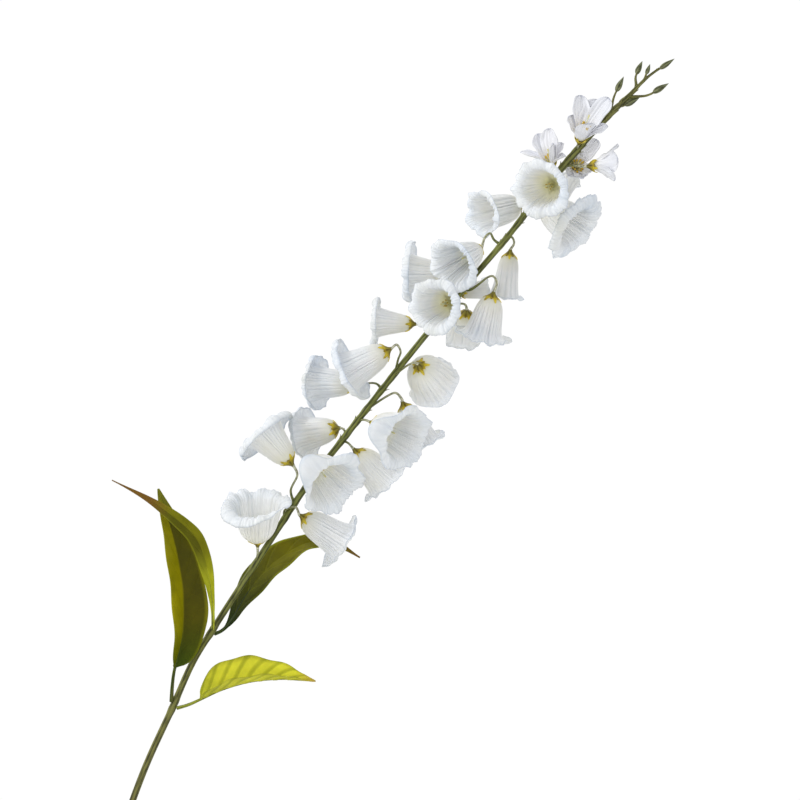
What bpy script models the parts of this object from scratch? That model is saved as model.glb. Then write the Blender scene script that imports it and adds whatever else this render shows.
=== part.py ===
"""A white campanula spike leaning out of a plain stoneware vase, half full of water.

Frame: +X to the right, +Y away from the viewer, +Z up; the origin is the centre of the vase's flat foot.
Tables are in millimetres and degrees, and every mesh is made in metres.
"""

import math
from typing import NamedTuple

import bmesh
import bpy
from mathutils import Matrix, Vector

MM = 0.001

# Vase, turned about Z
VASE_HEIGHT = 196.0
VASE_FLOOR = 8.0
VASE_FOOT_RADIUS = 44.0
VASE_BELLY_RADIUS = 52.0
VASE_NECK_RADIUS = 41.0
VASE_LIP_RADIUS = 44.5
VASE_WALL = 4.6
VASE_CORNER = 4.0
VASE_RIM_EASE = 1.8
VASE_STEPS = 30
WATER_LEVEL = 132.0
TOUCH_GAP = 0.3

# Stem: the route runs from the cut foot, in the vase, to the tip (right, away, up)
STEM_ROUTE = (
    (-34.6, 0, 9.5), (0, 0, 101), (35.5, 0, 194), (57, 0, 251), (78, 0, 297), (94, 1, 333), (111, 1, 361),
    (144, 2, 412), (168, 2, 449), (187, 2, 477), (219, 1, 518), (256, 0, 565), (281, -1, 596), (318, -2, 641),
    (346, -2, 674), (373, -1, 709), (391, 0, 731), (410, 1, 753), (428, 2, 772), (444, 2, 788), (457, 1, 801),
    (468, 1, 809.5),
)
STEM_POINTS_PER_SPAN = 2
STEM_FOOT_RADIUS = 2.9
STEM_MIDDLE_RADIUS = 2.3
STEM_TIP_RADIUS = 0.8
STEM_HOLE_RADIUS = 3.5
STEM_HOLE_DEPTH_BELOW_FLOOR = 12.0

# Pedicels and what carries each bell
PEDICEL_RADIUS = 0.95
PEDICEL_POINTS = 5
CALYX_BACK = 3.4
PLUG_RADIUS = 2.55
SEPALS = 5
SHEET = 0.8

# Bells: a ring of the profile is (radius, height); the neck and shoulder are the same cone on every bell
NECK_RADIUS = 3.4
SHOULDER_RADIUS = 9.0
SHOULDER_SLOPE = 0.62
FEW_SIDES = 10
RIM_SIDES = 20
LOBES = 5
FRILL = 1.0
MOUTH_SEEN = 20


class Bell(NamedTuple):
    """A bell flower. Neck: where its tube starts. Heading: in the X-Z plane, from +X. Toward: lean to the viewer."""

    name: str
    leaves_stem_at: float
    neck: tuple
    heading: float
    toward: float
    length: float
    mouth: float
    turn: float


BELLS = (
    Bell("bell_01", 412, (147, -9, 431), 90, 24, 34, 26.5, 0),
    Bell("bell_02", 449, (184, -6, 450), -33, -10, 34, 23, 20),
    Bell("bell_03", 461, (173, -16, 495), 132, -8, 33, 27, 10),
    Bell("bell_04", 475, (190, -12, 495), -47, 40, 35, 26, 50),
    Bell("bell_05", 511, (226, 6, 502), -46, -12, 34, 22, 30),
    Bell("bell_06", 516, (209, 3, 521), 190, -30, 32, 21.5, 60),
    Bell("bell_07", 527, (240, -10, 525), -25, 38, 36, 25.5, 15),
    Bell("bell_08", 536, (264, 8, 539), -64, -10, 34, 20, 40),
    Bell("bell_09", 552, (222, 20, 557), 178, -25, 35, 22, 25),
    Bell("bell_10", 562, (276, -4, 571), -49, -58, 34, 21.5, 35),
    Bell("bell_11", 566, (250, -16, 583), 206, -4, 38, 25.5, 0),
    Bell("bell_12", 602, (269, 3, 605), 177, -4, 30, 19.5, 45),
    Bell("bell_13", 612, (301, -15, 622), 200, 65, 34, 22, 30),
    Bell("bell_14", 618, (314, 19, 614), 266, -45, 26, 16, 0),
    Bell("bell_15", 626, (310, 5, 631), 6, -20, 20, 10, 20),
    Bell("bell_16", 633, (334, -14, 626), 256, -14, 33, 22.5, 10),
    Bell("bell_17", 636, (297, 14, 646), 177, -6, 32, 24.5, 55),
    Bell("bell_18", 668, (325, -6, 664), 216, 46, 35, 23, 5),
    Bell("bell_19", 690, (350, 20, 700), 195, 35, 32, 19, 65),
    Bell("bell_20", 673, (349, 18, 661), 263, -8, 34, 15.5, 30),
    Bell("bell_21", 686, (376, 10, 701), -31, 24, 37, 28.5, 40),
    Bell("bell_22", 706, (382, -15, 715), 207, 66, 32, 22, 15),
    Bell("bell_23", 719, (389, 25, 704), 64, -22, 22, 10, 25),
)

# Half-open blooms near the tip: length is to the petal tips, mouth is the radius there
BLOOMS = (
    Bell("bloom_01", 724, (381, -5, 731), 104, 20, 25, 20, 0),
    Bell("bloom_02", 743, (404, -9, 751), 72, 40, 34, 19, 20),
    Bell("bloom_03", 730, (414, -3, 731), 5, 0, 21, 16, 10),
    Bell("bloom_04", 736, (402, 19, 731), 60, 70, 13, 18, 40),
)
BLOOM_PETALS = 6


class Bud(NamedTuple):
    """A closed green bud on its own short stalk."""

    leaves_stem_at: float
    base: tuple
    tip: tuple
    radius: float


BUDS = (
    Bud(771, (433, -4, 790), (439, -6, 802), 2.4),
    Bud(779, (440, 3, 780), (453, 5, 787), 2.6),
    Bud(785, (463, 4, 790), (476, 6, 798), 2.5),
    Bud(793, (450, 5, 805), (455, 7, 816), 2.3),
    Bud(800, (457, -4, 804), (460, -6, 812), 1.7),
    Bud(808, (468, 1, 809), (480, 0, 817), 2.1),
)


class Leaf(NamedTuple):
    """A lanceolate leaf. Route: its midrib. Faces: where the upper side looks. Folds: how far each half lifts.

    Fullness: 1 is widest half way along, less is widest nearer to the stalk.
    """

    name: str
    route: tuple
    stalk: float
    half_width: float
    fullness: float
    face_at_base: tuple
    face_at_tip: tuple
    fold_at_base: float
    fold_at_tip: float


LEAVES = (
    Leaf("leaf_01", ((78, -3, 303), (79, -7, 316), (81, -9, 330), (87, -11, 355), (88, -12, 386), (85, -10, 410),
                     (79, -6, 436), (67, 1, 473)), 0.17, 20, 0.68, (0.7, -0.71, 0.0), (0.42, -0.9, 0.0), 44, 22),
    Leaf("leaf_02", ((82, -2, 298), (92, -3, 301), (101, -4, 305), (119, -5, 313), (141, -5, 319), (164, -4, 321),
                     (182, -2, 320), (193, 0, 319)), 0.18, 24, 0.72, (-0.1, -0.35, 0.93), (-0.1, -0.35, 0.93), 50, 50),
    Leaf("leaf_03", ((112, 2, 357), (117, 5, 359), (122, 8, 363), (127, 10, 370), (132, 12, 379), (141, 15, 393),
                     (156, 20, 410), (174, 25, 423), (190, 29, 429), (209, 32, 427), (228, 34, 416)), 0.15, 15, 1.1,
         (-0.46, -0.71, 0.53), (-0.3, -0.6, 0.7), 10, 10),
    Leaf("leaf_04", ((111, -3.6, 361), (111.5, -11, 372), (110.5, -18, 384), (108, -20, 395), (104, -22, 408),
                     (98, -25, 422), (84, -30, 438), (68, -35, 455), (52, -37, 468), (34, -38, 481)), 0.12, 10, 0.6,
         (-0.6, -0.8, 0.0), (0.3, -0.9, 0.3), 28, 5),
)
LEAF_ROWS = 13
LEAF_COLUMNS = 4
LEAF_WAVE = 0.9
LEAF_THICKNESS = 0.8
RIB_THICKNESS = 2.2
STALK_HALF_WIDTH = 1.1


def clear_scene():
    """Removes the start-up objects."""
    for thing in list(bpy.data.objects):
        bpy.data.objects.remove(thing)


def material(name, colour, roughness, alpha=1.0):
    """A Principled BSDF in one plain colour, given as sRGB 0 to 1."""
    made = bpy.data.materials.new(name)
    made.use_nodes = True
    shader = made.node_tree.nodes["Principled BSDF"]
    linear = [((c + 0.055) / 1.055) ** 2.4 if c > 0.04 else c / 12.92 for c in colour]
    shader.inputs["Base Color"].default_value = (*linear, 1.0)
    shader.inputs["Roughness"].default_value = roughness
    shader.inputs["Alpha"].default_value = alpha
    return made


def new_object(name, data, finish=None):
    """Links a mesh or curve to the collection of the part and gives it its material."""
    made = bpy.data.objects.new(name, data)
    bpy.data.collections["campanula_spike_in_vase"].objects.link(made)
    if finish is not None:
        data.materials.append(finish)
    return made


def direction(heading, toward):
    """Unit vector from a heading in the X-Z plane and a lean towards the viewer, who is at -Y."""
    h, t = math.radians(heading), math.radians(toward)
    return Vector((math.cos(h) * math.cos(t), -math.sin(t), math.sin(h) * math.cos(t)))


def place(at, axis, turn):
    """Matrix that stands local +Z along axis at a point, turned about it. The point is in millimetres."""
    rotation = Vector((0, 0, 1)).rotation_difference(axis).to_matrix().to_4x4()
    return Matrix.Translation(Vector(at) * MM) @ rotation @ Matrix.Rotation(math.radians(turn), 4, "Z")


def smooth_route(points, per_span):
    """Points read from a Catmull-Rom curve through the given ones, ends included."""
    knots = [Vector(p) for p in points]
    knots = [2 * knots[0] - knots[1], *knots, 2 * knots[-1] - knots[-2]]
    route = []
    for before, start, end, after in zip(knots, knots[1:], knots[2:], knots[3:]):
        for step in range(per_span):
            t = step / per_span
            route.append(0.5 * (2 * start + (end - before) * t + (2 * before - 5 * start + 4 * end - after) * t ** 2
                                + (3 * start - before - 3 * end + after) * t ** 3))
    return [*route, knots[-2]]


STEM_LINE = smooth_route(STEM_ROUTE, STEM_POINTS_PER_SPAN)


def stem_radius(height):
    """Stem radius at a height: it thins slowly to the middle bells, then quickly to the tip."""
    middle, top = 600.0, STEM_ROUTE[-1][2]
    if height < middle:
        return STEM_FOOT_RADIUS + (STEM_MIDDLE_RADIUS - STEM_FOOT_RADIUS) * height / middle
    return STEM_MIDDLE_RADIUS + (STEM_TIP_RADIUS - STEM_MIDDLE_RADIUS) * (height - middle) / (top - middle)


def on_stem(height):
    """Point of the stem's centre line at a height, and the direction in which the stem grows there."""
    for low, high in zip(STEM_LINE, STEM_LINE[1:]):
        if low.z <= height <= high.z:
            return low.lerp(high, (height - low.z) / (high.z - low.z)), (high - low).normalized()
    return STEM_LINE[-1], (STEM_LINE[-1] - STEM_LINE[-2]).normalized()


def tube(name, points, radii, sides_level):
    """A round tube with closed ends along points in millimetres, as a mesh."""
    curve = bpy.data.curves.new(name, "CURVE")
    curve.dimensions = "3D"
    curve.bevel_depth = MM
    curve.bevel_resolution = sides_level
    curve.use_fill_caps = True
    spline = curve.splines.new("POLY")
    spline.points.add(len(points) - 1)
    for knot, point, radius in zip(spline.points, points, radii):
        knot.co = (*(Vector(point) * MM), 1.0)
        knot.radius = radius
    drawn = new_object(name, curve)
    mesh = bpy.data.meshes.new_from_object(drawn.evaluated_get(bpy.context.evaluated_depsgraph_get()))
    shape = bmesh.new()
    shape.from_mesh(mesh)
    bmesh.ops.remove_doubles(shape, verts=shape.verts, dist=1e-5)
    shape.to_mesh(mesh)
    shape.free()
    bpy.data.objects.remove(drawn)
    return new_object(name, mesh)


def ring(sides, radius_at, height_at):
    """A ring of points about +Z. Radius and height are functions of the angle."""
    angles = [2 * math.pi * k / sides for k in range(sides)]
    return [Vector((radius_at(a) * math.cos(a), radius_at(a) * math.sin(a), height_at(a))) for a in angles]


def loft(name, rings, start=None, end=None):
    """Triangles between successive rings, each with as many sides as the last or twice as many, and end poles."""
    shape = bmesh.new()
    rows = [[shape.verts.new(p * MM) for p in row] for row in rings]
    for low, high in zip(rows, rows[1:]):
        count, double = len(low), len(high) == 2 * len(low)
        for k in range(count):
            a, b = low[k], low[(k + 1) % count]
            if double:
                c, m, d = high[2 * k], high[2 * k + 1], high[(2 * k + 2) % len(high)]
                triangles = ((a, m, c), (a, b, m), (b, d, m))
            else:
                c, d = high[k], high[(k + 1) % count]
                triangles = ((a, b, d), (a, d, c))
            for triangle in triangles:
                shape.faces.new(triangle)
    for pole, row, forward in ((start, rows[0], False), (end, rows[-1], True)):
        if pole is not None:
            tip = shape.verts.new(pole * MM)
            for k, corner in enumerate(row):
                after = row[(k + 1) % len(row)]
                shape.faces.new((corner, after, tip) if forward else (after, corner, tip))
    bmesh.ops.recalc_face_normals(shape, faces=shape.faces)
    mesh = bpy.data.meshes.new(name)
    shape.to_mesh(mesh)
    shape.free()
    return mesh


def solidify(thing, thickness, side=0.0):
    """Gives an open sheet its thickness, split into triangles alike on both faces."""
    wall = thing.modifiers.new("sheet", "SOLIDIFY")
    wall.thickness = thickness * MM
    wall.offset = side


def fuse(target, pieces):
    """Joins the pieces to the target in one Boolean union, applies it, and removes them."""
    gathered = bpy.data.collections.new("pieces of " + target.name)
    for piece in pieces:
        gathered.objects.link(piece)
    union = target.modifiers.new("join", "BOOLEAN")
    union.operation = "UNION"
    union.operand_type = "COLLECTION"
    union.collection = gathered
    union.solver = "EXACT"
    bpy.context.view_layer.update()
    joined = bpy.data.meshes.new_from_object(target.evaluated_get(bpy.context.evaluated_depsgraph_get()))
    target.modifiers.clear()
    target.data = joined
    for piece in list(pieces):
        bpy.data.objects.remove(piece)
    bpy.data.collections.remove(gathered)


def turned(name, profile, finish):
    """A profile of (radius, height), down its outer side, turned about Z."""
    mesh = bpy.data.meshes.new(name)
    mesh.from_pydata([(r * MM, 0, z * MM) for r, z in profile], [(k, k + 1) for k in range(len(profile) - 1)], [])
    made = new_object(name, mesh, finish)
    screw = made.modifiers.new("turn", "SCREW")
    screw.steps = screw.render_steps = VASE_STEPS
    screw.use_merge_vertices = True
    screw.merge_threshold = 1e-5
    screw.use_smooth_shade = True
    return made


def vase_outline(height):
    """Outer radius of the vase at a height, by smooth steps from foot to belly, neck and lip."""
    marks = ((0, VASE_FOOT_RADIUS), (78, VASE_BELLY_RADIUS), (178, VASE_NECK_RADIUS), (VASE_HEIGHT, VASE_LIP_RADIUS))
    for (low, r_low), (high, r_high) in zip(marks, marks[1:]):
        if height <= high:
            t = (height - low) / (high - low)
            return r_low + (r_high - r_low) * t * t * (3 - 2 * t)
    return VASE_LIP_RADIUS


def build_vase(finish):
    """The vase: a turned wall with a rounded lip, a flat floor and a flat foot."""
    inner = [(0, VASE_FLOOR), (vase_outline(11) - VASE_WALL - VASE_CORNER, VASE_FLOOR)]
    inner += [(vase_outline(z) - VASE_WALL, z) for z in (11, 40, 78, 120, 150, 178)]
    lip = VASE_LIP_RADIUS - VASE_WALL / 2
    edge = VASE_HEIGHT - VASE_RIM_EASE / 2
    rounded = [(lip - VASE_RIM_EASE, edge), (lip, VASE_HEIGHT), (lip + VASE_RIM_EASE, edge)]
    outer = [(vase_outline(z), z) for z in (178, 150, 120, 78, 40, 15, 2)]
    foot = [(VASE_FOOT_RADIUS - VASE_RIM_EASE, 0), (0, 0)]
    turned("vase", inner + rounded + outer + foot, finish)


def build_water(finish):
    """The water, up to its level, with a plain hole where the stem stands in it."""
    side = [(vase_outline(z) - VASE_WALL - TOUCH_GAP, z) for z in (WATER_LEVEL, 120, 78, 40, 11)]
    floor = VASE_FLOOR + TOUCH_GAP
    corner = vase_outline(11) - VASE_WALL - VASE_CORNER - TOUCH_GAP
    profile = [(0, WATER_LEVEL), *side, (corner, floor), (0, floor)]
    water = turned("water", profile, finish)
    below, above = on_stem(10)[0], on_stem(WATER_LEVEL + 20)[0]
    along = (above - below).normalized()
    lowest = below - along * STEM_HOLE_DEPTH_BELOW_FLOOR
    hole = tube("stem_hole", [lowest, above], [STEM_HOLE_RADIUS] * 2, 2)
    hole.hide_render = True
    hole.display_type = "WIRE"
    cut = water.modifiers.new("stem hole", "BOOLEAN")
    cut.object = hole
    cut.operation = "DIFFERENCE"
    cut.solver = "EXACT"


def bell_rings(bell):
    """Rings of a bell: neck, shoulder, body, flare, and the frilled lip with its five shallow lobes."""
    shoulder = min(SHOULDER_RADIUS, 0.5 * bell.mouth)
    length, mouth = bell.length, bell.mouth

    def lobed(radius, height, lobe, frill):
        def radius_at(a):
            return radius * (1 + 0.05 * lobe * math.cos(LOBES * a))

        def height_at(a):
            lift = lobe * 1.1 * math.cos(LOBES * a)
            return height + lift + frill * math.cos(RIM_SIDES / 2 * a)

        return radius_at, height_at

    return [
        ring(FEW_SIDES, *lobed(NECK_RADIUS, 0, 0, 0)),
        ring(FEW_SIDES, *lobed(shoulder, SHOULDER_SLOPE * (shoulder - NECK_RADIUS), 0, 0)),
        ring(RIM_SIDES, *lobed(0.58 * mouth, 0.48 * length, 0.4, 0)),
        ring(RIM_SIDES, *lobed(0.7 * mouth, 0.82 * length, 0.7, 0.4 * FRILL)),
        ring(RIM_SIDES, *lobed(mouth, length, 1.0, FRILL)),
    ]


def build_bell(bell, finish):
    """A bell's white tube, an open sheet with a hole at its neck."""
    made = new_object(bell.name, loft(bell.name, bell_rings(bell)), finish)
    made.matrix_world = place(bell.neck, direction(bell.heading, bell.toward), bell.turn)
    made.data.shade_smooth()
    solidify(made, SHEET)


def build_bloom(bloom, finish):
    """A half-open bloom: a small cup that splits into six pointed, arched petals."""
    rows = ((NECK_RADIUS, 0.0, 1.0), (0.42 * bloom.mouth, 0.2 * bloom.length, 1.0),
            (0.66 * bloom.mouth, 0.5 * bloom.length, 0.9), (0.86 * bloom.mouth, 0.78 * bloom.length, 0.66))
    half = math.pi / BLOOM_PETALS
    shape = bmesh.new()
    for petal in range(BLOOM_PETALS):
        middle = 2 * half * petal
        grid = []
        for radius, height, width in rows:
            row = []
            for side in (-1, 0, 1):
                angle = middle + side * half * width
                hollow = 0.0 if width == 1.0 else 0.09 * (1 - abs(side))
                row.append(shape.verts.new(Vector((radius * (1 + hollow) * math.cos(angle),
                                                   radius * (1 + hollow) * math.sin(angle), height)) * MM))
            grid.append(row)
        for low, high in zip(grid, grid[1:]):
            for k in range(2):
                shape.faces.new((low[k], low[k + 1], high[k + 1]))
                shape.faces.new((low[k], high[k + 1], high[k]))
        tip = shape.verts.new(Vector((bloom.mouth * math.cos(middle), bloom.mouth * math.sin(middle),
                                      bloom.length)) * MM)
        for k in range(2):
            shape.faces.new((grid[-1][k], grid[-1][k + 1], tip))
    bmesh.ops.remove_doubles(shape, verts=shape.verts, dist=1e-6)
    bmesh.ops.recalc_face_normals(shape, faces=shape.faces)
    mesh = bpy.data.meshes.new(bloom.name)
    shape.to_mesh(mesh)
    shape.free()
    made = new_object(bloom.name, mesh, finish)
    made.matrix_world = place(bloom.neck, direction(bloom.heading, bloom.toward), bloom.turn)
    solidify(made, SHEET)


def calyx(bell, sepal_reach):
    """The green star behind a bell: five sepals along its shoulder, and the plug that the bell sits on."""

    def star(tip, valley):
        tip_radius, tip_height = tip
        valley_radius, valley_height = valley

        def at(low, high):
            return lambda a: low + (high - low) * (0.5 + 0.5 * math.cos(SEPALS * a))

        return ring(FEW_SIDES, at(valley_radius, tip_radius), at(valley_height, tip_height))

    tip_height = SHOULDER_SLOPE * (sepal_reach - NECK_RADIUS) - 1.1
    rings = [
        star((sepal_reach + 0.1, tip_height - 0.75), (4.0, -2.0)),
        star((sepal_reach, tip_height), (3.6, -1.4)),
        ring(FEW_SIDES, lambda a: PLUG_RADIUS, lambda a: -1.4),
    ]
    mesh = loft("calyx", rings, Vector((0, 0, -CALYX_BACK)), Vector((0, 0, 2.6)))
    made = new_object("calyx of " + bell.name, mesh)
    made.matrix_world = place(bell.neck, direction(bell.heading, bell.toward), bell.turn)
    return made


def pistil(bell):
    """The pistil inside a bell, with its small knob."""
    top = 0.66 * bell.length
    rings = [ring(SEPALS, lambda a, r=r: r, lambda a, z=z: z) for r, z in ((0.9, 1.6), (0.7, top - 3), (1.5, top - 1))]
    mesh = loft("pistil", rings, Vector((0, 0, 0.8)), Vector((0, 0, top)))
    made = new_object("pistil of " + bell.name, mesh)
    made.matrix_world = place(bell.neck, direction(bell.heading, bell.toward), bell.turn)
    return made


def pedicel(name, leaves_stem_at, end, axis):
    """A stalk from the stem's centre line to end, which it reaches along axis: one cubic curve."""
    start, growth = on_stem(leaves_stem_at)
    end = Vector(end)
    reach = (end - start).length
    out = ((end - start).normalized() + growth * 0.7).normalized()
    first, second = start + out * 0.45 * reach, end - axis * max(0.45 * reach, 3.0)
    points = []
    for step in range(PEDICEL_POINTS):
        t = step / (PEDICEL_POINTS - 1)
        points.append(start * (1 - t) ** 3 + first * 3 * t * (1 - t) ** 2 + second * 3 * t * t * (1 - t) + end * t ** 3)
    return tube(name, points, [PEDICEL_RADIUS] * len(points), 1)


def bud(number, shape):
    """A spindle from base to tip, and its stalk."""
    base, tip = Vector(shape.base), Vector(shape.tip)
    axis, length = (tip - base).normalized(), (tip - base).length
    profile = ((0.35 * shape.radius, 0.0), (shape.radius, 0.36 * length), (0.55 * shape.radius, 0.76 * length))
    rings = [ring(6, lambda a, r=r: r, lambda a, z=z: z) for r, z in profile]
    mesh = loft("bud", rings, Vector((0, 0, -0.5)), Vector((0, 0, length)))
    made = new_object(f"bud {number}", mesh)
    made.matrix_world = place(base, axis, 0)
    return [made, pedicel(f"bud stalk {number}", shape.leaves_stem_at, base + axis, axis)]


def build_stem(finish):
    """The stem with all that is green on it: leaf stubs, pedicels, calyxes with pistils, buds and bracts."""
    line = [tuple(p) for p in STEM_LINE]
    stem = tube("stem", line, [stem_radius(p[2]) for p in line], 2)
    pieces = []
    for flower in BELLS + BLOOMS:
        axis = direction(flower.heading, flower.toward)
        back = Vector(flower.neck) - axis * (CALYX_BACK - 0.9)
        pieces.append(pedicel("pedicel of " + flower.name, flower.leaves_stem_at, back, axis))
        pieces.append(calyx(flower, 8.2 if flower in BELLS else 5.6))
        if flower.toward > MOUTH_SEEN or flower in BLOOMS:
            pieces.append(pistil(flower))
    for number, shape in enumerate(BUDS):
        pieces += bud(number, shape)
    fuse(stem, pieces)
    stem.data.materials.clear()
    stem.data.materials.append(finish)


def leaf_outline(t, leaf):
    """Half-width of a leaf, 0 to 1, at a share of its length: a narrow stalk, a full middle, a drawn-out tip."""
    if t <= leaf.stalk:
        return 0.0
    s = (t - leaf.stalk) / (1 - leaf.stalk)
    return math.sin(math.pi * s ** leaf.fullness) ** 0.9 * (1 - 0.25 * s) + 0.03


def build_leaf(leaf, finish):
    """A leaf: a thin folded blade with slightly waved margins, thicker along its midrib and stalk."""
    spine = smooth_route(leaf.route, 6)
    last = len(spine) - 1
    shape = bmesh.new()
    grid = []
    for row in range(LEAF_ROWS + 1):
        t = row / LEAF_ROWS
        where = t * last
        low = min(int(where), last - 1)
        middle = spine[low].lerp(spine[low + 1], where - low)
        growth = (spine[min(low + 2, last)] - spine[max(low - 1, 0)]).normalized()
        right = growth.cross(Vector(leaf.face_at_base).lerp(Vector(leaf.face_at_tip), t)).normalized()
        up = right.cross(growth).normalized()
        width = STALK_HALF_WIDTH * (1 - 0.6 * t) + leaf.half_width * leaf_outline(t, leaf)
        points = []
        for column in range(-LEAF_COLUMNS // 2, LEAF_COLUMNS // 2 + 1):
            share = column / (LEAF_COLUMNS / 2)
            fold = leaf.fold_at_base + (leaf.fold_at_tip - leaf.fold_at_base) * t
            lift = math.radians(fold * min(1.0, width / 6))
            wave = LEAF_WAVE * share * share * math.sin(9 * t * math.pi + column) * min(1.0, width / 10)
            across = right * (share * width * math.cos(lift))
            points.append(middle + across + up * (abs(share) * width * math.sin(lift) + wave))
        grid.append([shape.verts.new(p * MM) for p in points])
    for low, high in zip(grid, grid[1:]):
        for k in range(LEAF_COLUMNS):
            shape.faces.new((low[k], low[k + 1], high[k + 1]))
            shape.faces.new((low[k], high[k + 1], high[k]))
    mesh = bpy.data.meshes.new(leaf.name)
    shape.to_mesh(mesh)
    shape.free()
    made = new_object(leaf.name, mesh, finish)
    thick = made.vertex_groups.new(name="midrib")
    for row in range(LEAF_ROWS + 1):
        stalk = row / LEAF_ROWS <= leaf.stalk
        for column in range(LEAF_COLUMNS + 1):
            rib = column == LEAF_COLUMNS // 2 and row < LEAF_ROWS - 2
            thick.add([row * (LEAF_COLUMNS + 1) + column], 1.0 if stalk or rib else 0.0, "REPLACE")
    solidify(made, RIB_THICKNESS, -1.0)
    wall = made.modifiers["sheet"]
    wall.vertex_group = "midrib"
    wall.thickness_vertex_group = LEAF_THICKNESS / RIB_THICKNESS


def main():
    """Builds every piece in the frame of the part."""
    clear_scene()
    collection = bpy.data.collections.new("campanula_spike_in_vase")
    bpy.context.scene.collection.children.link(collection)
    white = material("petal", (0.93, 0.94, 0.95), 0.6)
    green = material("leaf", (0.42, 0.44, 0.1), 0.5)
    build_vase(material("stoneware", (0.78, 0.76, 0.72), 0.55))
    build_water(material("water", (0.88, 0.93, 0.93), 0.05, 0.35))
    build_stem(material("stem", (0.36, 0.4, 0.16), 0.55))
    for bell in BELLS:
        build_bell(bell, white)
    for bloom in BLOOMS:
        build_bloom(bloom, white)
    for leaf in LEAVES:
        build_leaf(leaf, green)


main()
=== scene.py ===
"""Looks of a white campanula spike that leans out of a plain glazed stoneware vase.

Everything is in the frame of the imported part: +X to the right, +Y away from the viewer, +Z up, and the origin
at the centre of the vase's foot. Tables are in millimetres and degrees, and every mesh is made in metres.
"""

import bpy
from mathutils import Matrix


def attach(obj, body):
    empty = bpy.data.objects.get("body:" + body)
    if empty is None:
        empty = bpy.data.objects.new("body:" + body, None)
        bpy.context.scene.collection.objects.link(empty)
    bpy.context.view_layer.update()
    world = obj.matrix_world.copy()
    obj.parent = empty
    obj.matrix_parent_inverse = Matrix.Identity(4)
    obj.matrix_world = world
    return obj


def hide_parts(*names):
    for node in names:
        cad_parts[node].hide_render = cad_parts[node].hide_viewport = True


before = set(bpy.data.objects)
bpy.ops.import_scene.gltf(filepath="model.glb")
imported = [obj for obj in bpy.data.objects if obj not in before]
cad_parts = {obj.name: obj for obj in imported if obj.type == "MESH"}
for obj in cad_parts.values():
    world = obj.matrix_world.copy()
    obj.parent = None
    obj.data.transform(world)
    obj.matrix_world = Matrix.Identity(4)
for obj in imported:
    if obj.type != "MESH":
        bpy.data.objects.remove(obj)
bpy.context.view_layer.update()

import logging
import math
from dataclasses import dataclass, field
from enum import Enum

import bmesh
import bpy
import numpy as np
from mathutils import Matrix, Vector
from numpy.typing import ArrayLike

MM = 0.001
TAU = 2 * math.pi
# Metres within which two corners are one
MERGED_WITHIN = 2e-6
LOG = logging.getLogger("campanula")

Point = tuple[float, float, float]


class Slot(Enum):
    """Material slots of the record."""

    STONEWARE = "stoneware"
    WATER = "water"
    STEM = "stem"
    PETAL = "petal"
    LEAF = "leaf"


# Colour and nodes


def linear(code: str) -> tuple[float, float, float, float]:
    """Turns an sRGB hex code to linear red, green, blue and alpha.

    Args:
        code: The colour, such as "#f4f6f8".

    Returns:
        Four numbers for a colour socket.
    """
    parts = (int(code[k:k + 2], 16) / 255 for k in (1, 3, 5))
    return (*(c / 12.92 if c <= 0.04045 else ((c + 0.055) / 1.055) ** 2.4 for c in parts), 1.0)


def node(tree: bpy.types.NodeTree, kind: str, inputs: dict | None = None, stops: tuple = (),
         **settings: object) -> bpy.types.Node:
    """Adds a node with its settings, its input values and its links.

    Args:
        tree: The node tree.
        kind: The node's type without the "ShaderNode" that it starts with, such as "TexNoise".
        inputs: Socket name or index to a value, or to the output socket that is linked to it.
        stops: For a colour ramp, pairs of position and hex code.
        settings: Attributes of the node.

    Returns:
        The new node.
    """
    made = tree.nodes.new("ShaderNode" + kind)
    for key, value in settings.items():
        setattr(made, key, value)
    for key, value in (inputs or {}).items():
        if isinstance(value, bpy.types.NodeSocket):
            tree.links.new(value, made.inputs[key])
        else:
            made.inputs[key].default_value = value
    if stops:
        while len(made.color_ramp.elements) < len(stops):
            made.color_ramp.elements.new(1.0)
        for element, (position, code) in zip(made.color_ramp.elements, stops):
            element.position = position
            element.color = linear(code)
    return made


@dataclass(frozen=True)
class Finish:
    """What every finish has.

    Attributes:
        name: Name of its material.
        slot: The record's slot that it belongs to.
    """

    name: str
    slot: Slot

    def material(self) -> bpy.types.Material:
        """Makes the material, or finds it if it is made.

        Returns:
            The material, with this finish's nodes.
        """
        if self.name in bpy.data.materials:
            return bpy.data.materials[self.name]
        made = bpy.data.materials.new(self.name)
        made.use_nodes = True
        tree = made.node_tree
        tree.nodes.clear()
        shader = node(tree, "BsdfPrincipled", self.paint(tree))
        node(tree, "OutputMaterial", {"Surface": shader.outputs[0]})
        return made

    def paint(self, tree: bpy.types.NodeTree) -> dict:
        """Adds the pattern's nodes and gives the shader's inputs; each finish has its own."""
        raise NotImplementedError


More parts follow.
